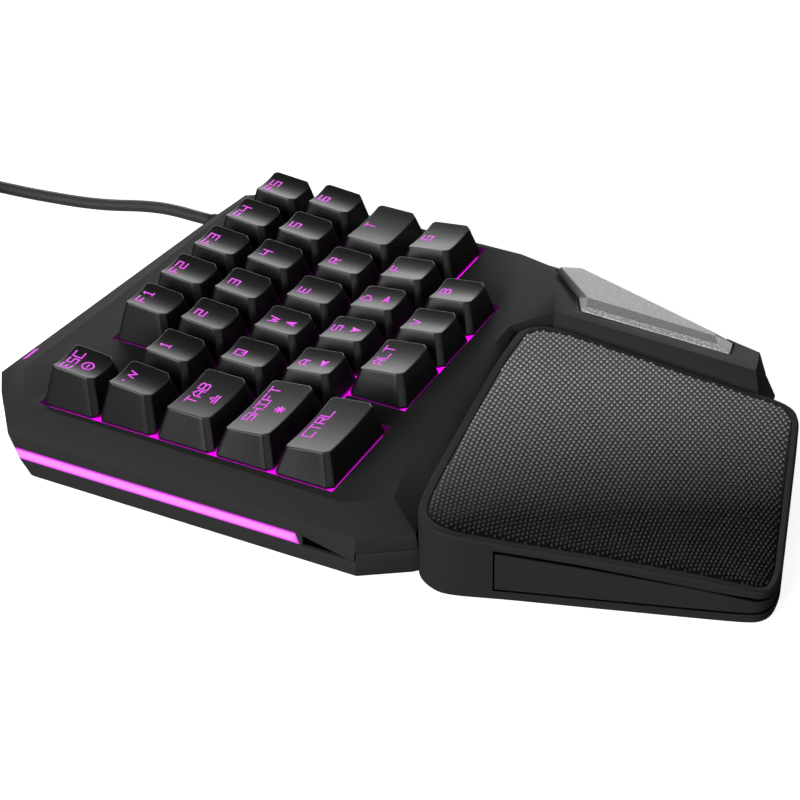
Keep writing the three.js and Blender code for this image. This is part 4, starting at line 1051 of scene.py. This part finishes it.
# The shell's profile: each ring's depth in from the face or the pocket's wall, the level that it follows
# and its height over that level
PALM_LEVELS = {"floor": lambda p: 0, "rim": lambda p: p.z, "ledge": lambda p: ledge_height(p.y)}
PALM_FACE = (
    (0.5, "floor", 0), (0, "floor", 0.5), (0, "rim", -1.2), (0, "rim", -0.7), (0.08, "rim", -0.38),
    (0.25, "rim", -0.15), (0.5, "rim", -0.03), (0.8, "rim", 0))
PALM_POCKET = (
    (-0.6, "rim", 0), (-0.25, "rim", -0.07), (-0.05, "rim", -0.25), (0, "rim", -0.6), (0, "ledge", 0),
    (LEDGE_WIDTH, "ledge", 0), (LEDGE_WIDTH, "ledge", -LEDGE_WALL))
PALM_CAVITY = ((PALM_WALL, "ledge", -LEDGE_WALL), (PALM_WALL, "floor", 0))

# The side panel and its recess: their depths in from the face, height, drop under the rim and trim at the
# ends. The bridge is the opening for the lower case, which runs on under the palm rest.
PANEL_CORNERS = range(3, 10)
PANEL_LEAD = 4
PANEL_RECESS = (-1, 1.8, 3.0, 2.2, -0.4)
PANEL = (0.3, 1.1, 3.25, 3.7, 0)
PANEL_ROUND = 0.2
BRIDGE_LOW = (12.8, -23, -1)
BRIDGE_HIGH = (79.4, 3, 2.6)


def ledge_height(y):
    """Height of the ledge that the pad rests on."""
    return LEDGE_LOW + (LEDGE_HIGH - LEDGE_LOW) * (y - PALM_CORNER[1]) / PALM_SIZE[1]


def moved_in(ring, distance, near_share=1):
    """The ring drawn in by a distance along the ground, of which the near and right sides take a share."""
    moved = []
    for i, p in enumerate(ring):
        sides, depths = [], []
        for k in (i - 1, i):
            a, b = ring[k], ring[(k + 1) % len(ring)]
            sides.append(Vector((a.y - b.y, b.x - a.x)).normalized())
            depths.append(distance * (near_share if k % len(ring) in NARROW_SIDES else 1))
        turn = sides[0].x * sides[1].y - sides[0].y * sides[1].x
        if depths[0] == depths[1] or abs(turn) < LEAST_TURN:
            shift = (sides[0] + sides[1]) * (sum(depths) / 2) / (1 + sides[0].dot(sides[1]))
        else:
            shift = Vector((
                depths[0] * sides[1].y - depths[1] * sides[0].y,
                depths[1] * sides[0].x - depths[0] * sides[1].x)) / turn
        moved.append(Vector((p.x + shift.x, p.y + shift.y, p.z)))
    return moved


def eased(points, closed=True):
    """A line whose corners are rounded over a short reach."""
    line = []
    for i, here in enumerate(points):
        if not closed and i in (0, len(points) - 1):
            line.append(here)
            continue
        before, after = points[i - 1], points[(i + 1) % len(points)]
        a = here.lerp(before, min(0.45, PALM_EASE / (before - here).length))
        b = here.lerp(after, min(0.45, PALM_EASE / (after - here).length))
        line += [bend(a, here, b, k / EASE_STEPS) for k in range(EASE_STEPS + 1)]
    return line


def palm_ring(depth, level, lift=0, pocket=False):
    """The eased outline at a depth from the face or the pocket's wall, with each point's height."""
    start = moved_in(PALM_RING, PALM_RIM, NARROW_SHARE) if pocket else PALM_RING
    return [Vector((p.x, p.y, PALM_LEVELS[level](p) + lift)) for p in eased(moved_in(start, depth))]


def wall_strip(outer, inner, low, drop, trim):
    """A strip of the palm wall between two depths from its face, under its sloping edge."""
    paths = []
    for distance in (outer, inner):
        ring = moved_in(PALM_RING, distance)
        path = [ring[i] for i in PANEL_CORNERS]
        path[0] = path[0] + (path[1] - path[0]).normalized() * (trim - PANEL_LEAD)
        path[-1] = path[-1] + (path[-2] - path[-1]).normalized() * trim
        paths.append(eased(path, closed=False))
    ring = paths[0] + paths[1][::-1]
    return lofted([[(p.x, p.y, low) for p in ring], [(p.x, p.y, p.z - drop) for p in ring]])


def box_skin(low, high):
    corners = ((low[0], low[1]), (high[0], low[1]), (high[0], high[1]), (low[0], high[1]))
    return lofted([[(x, y, z) for x, y in corners] for z in (low[2], high[2])])


def cut_away(piece, skin, material):
    """Cut a solid out of the piece and give the cut faces a material."""
    tool = new_piece("tool", *skin)
    coat(tool, material)
    cut = piece.modifiers.new("cut", "BOOLEAN")
    cut.operation = "DIFFERENCE"
    cut.solver = "EXACT"
    cut.object = tool
    cut.material_mode = "TRANSFER"
    baked(piece)
    bpy.data.objects.remove(tool, do_unlink=True)


def shade_by_angle(piece):
    """Sharp edges where two faces meet steeply, and smooth ones elsewhere."""
    with edited(piece.data) as shape:
        for edge in shape.edges:
            if len(edge.link_faces) == 2:
                edge.smooth = edge.calc_face_angle(0) < math.radians(SHARP_ANGLE)
        for face in shape.faces:
            face.smooth = True


class KEYPAD_OT_palm_rest(bpy.types.Operator):
    """Make the palm rest's shell with its recess, painted black inside as shade, and the wedge-shaped panel
    set in its side
    """

    bl_idname = "keypad.palm_rest"
    bl_label = "Palm Rest"

    def execute(self, context):
        colour = [0.9 * c for c in context.scene.keypad_finish.case_colour]
        plastic = moulded("palm_shell_plastic", colour, 0.6, 0.24, 0.35, 0.12, specular=0.1)
        rings = [palm_ring(*ring) for ring in PALM_FACE]
        rings += [palm_ring(*ring, pocket=True) for ring in PALM_POCKET]
        rings += [palm_ring(*ring) for ring in PALM_CAVITY]
        shell = new_piece("palm_shell", *lofted(rings, closed=True))
        coat(shell, plastic)
        # The recess's cut faces are painted black as shade.
        cut_away(shell, wall_strip(*PANEL_RECESS), recess_painted_shade())
        cut_away(shell, box_skin(BRIDGE_LOW, BRIDGE_HIGH), plastic)
        shade_by_angle(shell)
        settle(shell, CASE_BODY, "case", "palm_cover")
        panel = new_piece("palm_panel", *wall_strip(*PANEL))
        coat(panel, plastic)
        rounded(panel, PANEL_ROUND * MM, segments=2, angle=40)
        settle(panel, CASE_BODY, "case", "palm_side_panel")
        return {"FINISHED"}


# Palm pad: rings drawn in to the middle by shares of the outline, and studs in rows that are gentle arcs.
# The bearing and the spread of the rows are in radians.
PAD_SHARES = (0.995, 0.985, 0.97, 0.945, 0.91, 0.86, 0.8, 0.73, 0.65, 0.56, 0.46, 0.36, 0.25, 0.13)
PAD_GAP = 0.08
PAD_FOOT_SHARE = 0.01
PAD_FOOT_LIFT = 2.2
PAD_SIDE_DROPS = (1.5, 0.35)
PAD_LIFT = 0.1
PAD_CROWN = 1.4
PAD_EDGE_SHARE = 0.965
PAD_EDGE_DROP = 0.45
ROW_CENTRE = Vector((-125.9, -207.0))
ROW_BEARING = math.radians(43)
ROW_SPREAD = 0.6
ROW_MIDDLE_RADIUS = 220.0
ROW_REACH = 95.0
ROW_SHIFT = 0.3
ROW_PITCH_SHARE = 1.03
STUD_MARGIN = 0.3
STUD_WIDTH_SHARE = 0.7
STUD_HEIGHT_SHARE = 0.28
STUD_SINK = 0.06
ABOVE_PAD = 60


def pad_skin():
    """The crowned pad, with its underside on the carrier, a side and a top, and its outline."""
    outline = palm_ring(PAD_GAP, "rim", pocket=True)
    middle = sum(outline, Vector()) / len(outline)
    ground = np.array([(p.x, p.y, 1) for p in outline])
    slope_x, slope_y, height = np.linalg.lstsq(ground, np.array([p.z for p in outline]), rcond=None)[0]

    def plane(x, y):
        return slope_x * x + slope_y * y + height

    def toward_middle(p, share):
        return p.x + (middle.x - p.x) * share, p.y + (middle.y - p.y) * share

    foot = [Vector((*toward_middle(p, PAD_FOOT_SHARE), ledge_height(p.y) + PAD_FOOT_LIFT)) for p in outline]
    rings = [foot] + [[p - Vector((0, 0, drop)) for p in outline] for drop in PAD_SIDE_DROPS]
    for share in PAD_SHARES:
        edge = max(0, (share - PAD_EDGE_SHARE) / (1 - PAD_EDGE_SHARE))
        lift = PAD_LIFT + PAD_CROWN * (1 - share * share) - PAD_EDGE_DROP * edge
        ring = []
        for p in outline:
            x, y = middle.x + (p.x - middle.x) * share, middle.y + (p.y - middle.y) * share
            level = plane(x, y) + (p.z - plane(p.x, p.y)) * share ** 4
            ring.append(Vector((x, y, level + lift)))
        rings.append(ring)
    return lofted(rings), outline


def stud_places(piece, outline, pitch):
    """Points on the pad's top in rows, each shifted along from the last, with the way up at each."""
    rim = np.array([(p.x, p.y) for p in moved_in(outline, STUD_MARGIN)])
    following = np.roll(rim, -1, axis=0)
    run, rise = (following - rim).T
    rise_or_one = np.where(rise == 0, 1, rise)
    tree = BVHTree.FromObject(piece, bpy.context.evaluated_depsgraph_get())
    row_pitch = pitch * ROW_PITCH_SHARE
    turn = pitch / ROW_MIDDLE_RADIUS
    spread = int(ROW_SPREAD / turn)
    nearest, farthest = (int((ROW_MIDDLE_RADIUS + side * ROW_REACH) / row_pitch) for side in (-1, 1))
    points, ups = [], []
    for row in range(nearest, farthest):
        radius = row * row_pitch
        for k in range(-spread, spread):
            angle = ROW_BEARING + (k + ROW_SHIFT * row % 1) * turn
            x, y = ROW_CENTRE.x + radius * math.cos(angle), ROW_CENTRE.y + radius * math.sin(angle)
            crossing = (rim[:, 1] > y) != (following[:, 1] > y)
            at = rim[:, 0] + run * (y - rim[:, 1]) / rise_or_one
            is_outside = (crossing & (x < at)).sum() % 2 == 0
            if is_outside:
                continue
            place, normal = tree.ray_cast(drawn(x, y, ABOVE_PAD), Vector((0, 0, -1)))[:2]
            if place is not None:
                points.append(place)
                ups.append(normal)
    return points, ups


def stud_tree():
    """Geometry nodes that set one small dome on every point, along its stored way up."""
    tree = bpy.data.node_groups.new("pad_studs", "GeometryNodeTree")
    for name, kind in (
            ("Geometry", "Geometry"), ("Stud Width", "Float"), ("Stud Height", "Float"),
            ("Stud Sink", "Float"), ("Material", "Material")):
        tree.interface.new_socket(name, in_out="INPUT", socket_type=f"NodeSocket{kind}")
    tree.interface.new_socket("Geometry", in_out="OUTPUT", socket_type="NodeSocketGeometry")
    given, out = tree.nodes.new("NodeGroupInput").outputs, tree.nodes.new("NodeGroupOutput")
    dome = add(tree, "GeometryNodeMeshUVSphere", {"Segments": 8, "Rings": 5, "Radius": 1.0})
    half = math_node(tree, "MULTIPLY", given["Stud Width"], 0.5)
    size = add(tree, "ShaderNodeCombineXYZ", {"X": half, "Y": half, "Z": given["Stud Height"]})
    up = add(tree, "GeometryNodeInputNamedAttribute", {"Name": "way_up"}, data_type="FLOAT_VECTOR")
    turned = add(tree, "FunctionNodeAlignRotationToVector", {"Vector": up.outputs["Attribute"]}, axis="Z")
    placed = add(tree, "GeometryNodeInstanceOnPoints", {
        "Points": given["Geometry"], "Instance": dome.outputs["Mesh"], "Rotation": turned.outputs[0],
        "Scale": size.outputs[0]})
    sunk = math_node(tree, "MULTIPLY", given["Stud Sink"], -1.0)
    moved = add(tree, "GeometryNodeTranslateInstances", {
        "Instances": placed.outputs[0],
        "Translation": add(tree, "ShaderNodeCombineXYZ", {"Z": sunk}).outputs[0]})
    whole = add(tree, "GeometryNodeRealizeInstances", {"Geometry": moved.outputs[0]})
    shaded = add(tree, "GeometryNodeSetShadeSmooth", {"Geometry": whole.outputs[0]})
    coloured = add(tree, "GeometryNodeSetMaterial", {
        "Geometry": shaded.outputs[0], "Material": given["Material"]})
    fill(tree, out, {"Geometry": coloured.outputs[0]})
    return tree


def pad_rubber_painted_sheen(name, colour, darkest, palest, roughness, specular):
    """Rubber of the pad, painted paler towards the far right: a painted sheen."""
    material, tree, shader = new_material(name)
    low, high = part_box("palm_pad")
    across, away = (
        math_node(tree, "DIVIDE", math_node(tree, "SUBTRACT", place, low[i]), high[i] - low[i])
        for i, place in enumerate(axes(tree)[:2]))
    along = math_node(tree, "MULTIPLY_ADD", away, 0.55, math_node(tree, "MULTIPLY", across, 0.75))
    gain = add(tree, "ShaderNodeMapRange", {
        "Value": along, "From Min": 0.45, "From Max": 1.05, "To Min": darkest, "To Max": palest})
    tint = scaled(tree, colour, gain.outputs[0])
    grained(tree, shader, tint, roughness, 0.1, 0.15, 0.2, specular)
    return material


def with_nodes(piece, tree, values):
    """Run a node tree on the piece and keep the result as a plain mesh."""
    modifier = piece.modifiers.new("nodes", "NODES")
    modifier.node_group = tree
    for item in tree.interface.items_tree:
        if item.in_out == "INPUT" and item.name in values:
            modifier[item.identifier] = values[item.name]
    baked(piece)


class KEYPAD_OT_palm_pad(bpy.types.Operator):
    """Make the soft palm pad with its staggered raised studs"""

    bl_idname = "keypad.palm_pad"
    bl_label = "Palm Pad"

    def execute(self, context):
        colour = context.scene.keypad_finish.pad_colour
        pitch = context.scene.keypad_shape.stud_pitch
        # Both rubbers are painted paler towards the far right as a sheen, the studs far more than the ground
        # between them.
        ground = pad_rubber_painted_sheen("pad_rubber_painted_sheen", colour, 0.12, 4.5, 0.6, 0.2)
        raised = pad_rubber_painted_sheen("pad_studs", colour, 0.12, 14.0, 0.3, 0.5)
        skin, outline = pad_skin()
        pad = new_piece("soft_pad", *skin)
        coat(pad, ground, raised)
        places, ups = stud_places(pad, outline, pitch / MM)
        studs = new_piece("pad_studs", places, [])
        attribute = studs.data.attributes.new("way_up", "FLOAT_VECTOR", "POINT")
        attribute.data.foreach_set("vector", [v for up in ups for v in up])
        coat(studs, raised)
        with_nodes(studs, stud_tree(), {
            "Stud Width": STUD_WIDTH_SHARE * pitch, "Stud Height": STUD_HEIGHT_SHARE * pitch,
            "Stud Sink": STUD_SINK * MM, "Material": raised})
        with edited(pad.data) as joined:
            before = len(joined.faces)
            joined.from_mesh(studs.data)
            for face in list(joined.faces)[before:]:
                face.material_index = 1
        bpy.data.objects.remove(studs, do_unlink=True)
        settle(pad, CASE_BODY, "pad", "palm_pad")
        return {"FINISHED"}


# Inner and small pieces keep their solids and take a finish
class KEYPAD_OT_inner(bpy.types.Operator):
    """Give the boards, sheets, screws, feet and the plug's shell their finishes"""

    bl_idname = "keypad.inner"
    bl_label = "Inner Pieces"

    def execute(self, context):
        steel = moulded("plated_steel", linear("9a9da1"), 0.32, 0.4, 0.1, 0.1, metallic=1.0)
        foot = moulded("foot_rubber", linear("131314"), 0.8, 0.4, 0.4)
        board = moulded("board_green", linear("1f5a38"), 0.5, 0.8, 0.15, 0.3)
        silicone = moulded("silicone_domes", linear("d5d6cf"), 0.55, 0.5, 0.15, 0.08)
        film = moulded("printed_film", linear("c9ced2"), 0.3, 0.8, 0.05, 0.1)
        carrier = moulded("carrier_plastic", linear("2b2b2d"), 0.6, 0.3, 0.3)
        looks = (
            (steel, ["back_plate", "plug_shell", "palm_screw", *(f"case_screw_{i}" for i in (1, 2, 3, 4))]),
            (foot, [f"foot_{side}" for side in ("far_left", "far_right", "near_left", "near_right")]),
            (board, ["controller_board", "thumb_switch_board"]), (silicone, ["dome_sheet", "thumb_dome"]),
            (film, ["membrane_sheet"]), (carrier, ["palm_carrier"]),
        )
        for material, nodes in looks:
            for node in nodes:
                coat(NODES[node], material)
        return {"FINISHED"}


STEPS = (
    KEYPAD_OT_stage, KEYPAD_OT_cord, KEYPAD_OT_case, KEYPAD_OT_keys, KEYPAD_OT_glow, KEYPAD_OT_thumb_key,
    KEYPAD_OT_palm_rest, KEYPAD_OT_palm_pad, KEYPAD_OT_inner,
)


class KEYPAD_PT_panel(bpy.types.Panel):
    bl_idname = "KEYPAD_PT_panel"
    bl_label = "Gaming Keypad"
    bl_space_type = "VIEW_3D"
    bl_region_type = "UI"
    bl_category = "Keypad"

    def draw(self, context):
        layout = self.layout
        for settings in (context.scene.keypad_shape, context.scene.keypad_finish):
            box = layout.box()
            for name in settings.__annotations__:
                box.prop(settings, name)
        for step in STEPS:
            layout.operator(step.bl_idname)


CLASSES = (KeypadFinishSettings, KeypadShapeSettings, *STEPS, KEYPAD_PT_panel)


def register():
    for kind in CLASSES:
        bpy.utils.register_class(kind)
    bpy.types.Scene.keypad_finish = bpy.props.PointerProperty(type=KeypadFinishSettings)
    bpy.types.Scene.keypad_shape = bpy.props.PointerProperty(type=KeypadShapeSettings)


def unregister():
    del bpy.types.Scene.keypad_shape
    del bpy.types.Scene.keypad_finish
    for kind in reversed(CLASSES):
        bpy.utils.unregister_class(kind)


def main():
    register()
    grain_group()
    fleck_group()
    for step in STEPS:
        area, name = step.bl_idname.split(".")
        getattr(getattr(bpy.ops, area), name)()


if __name__ == "__main__":
    main()
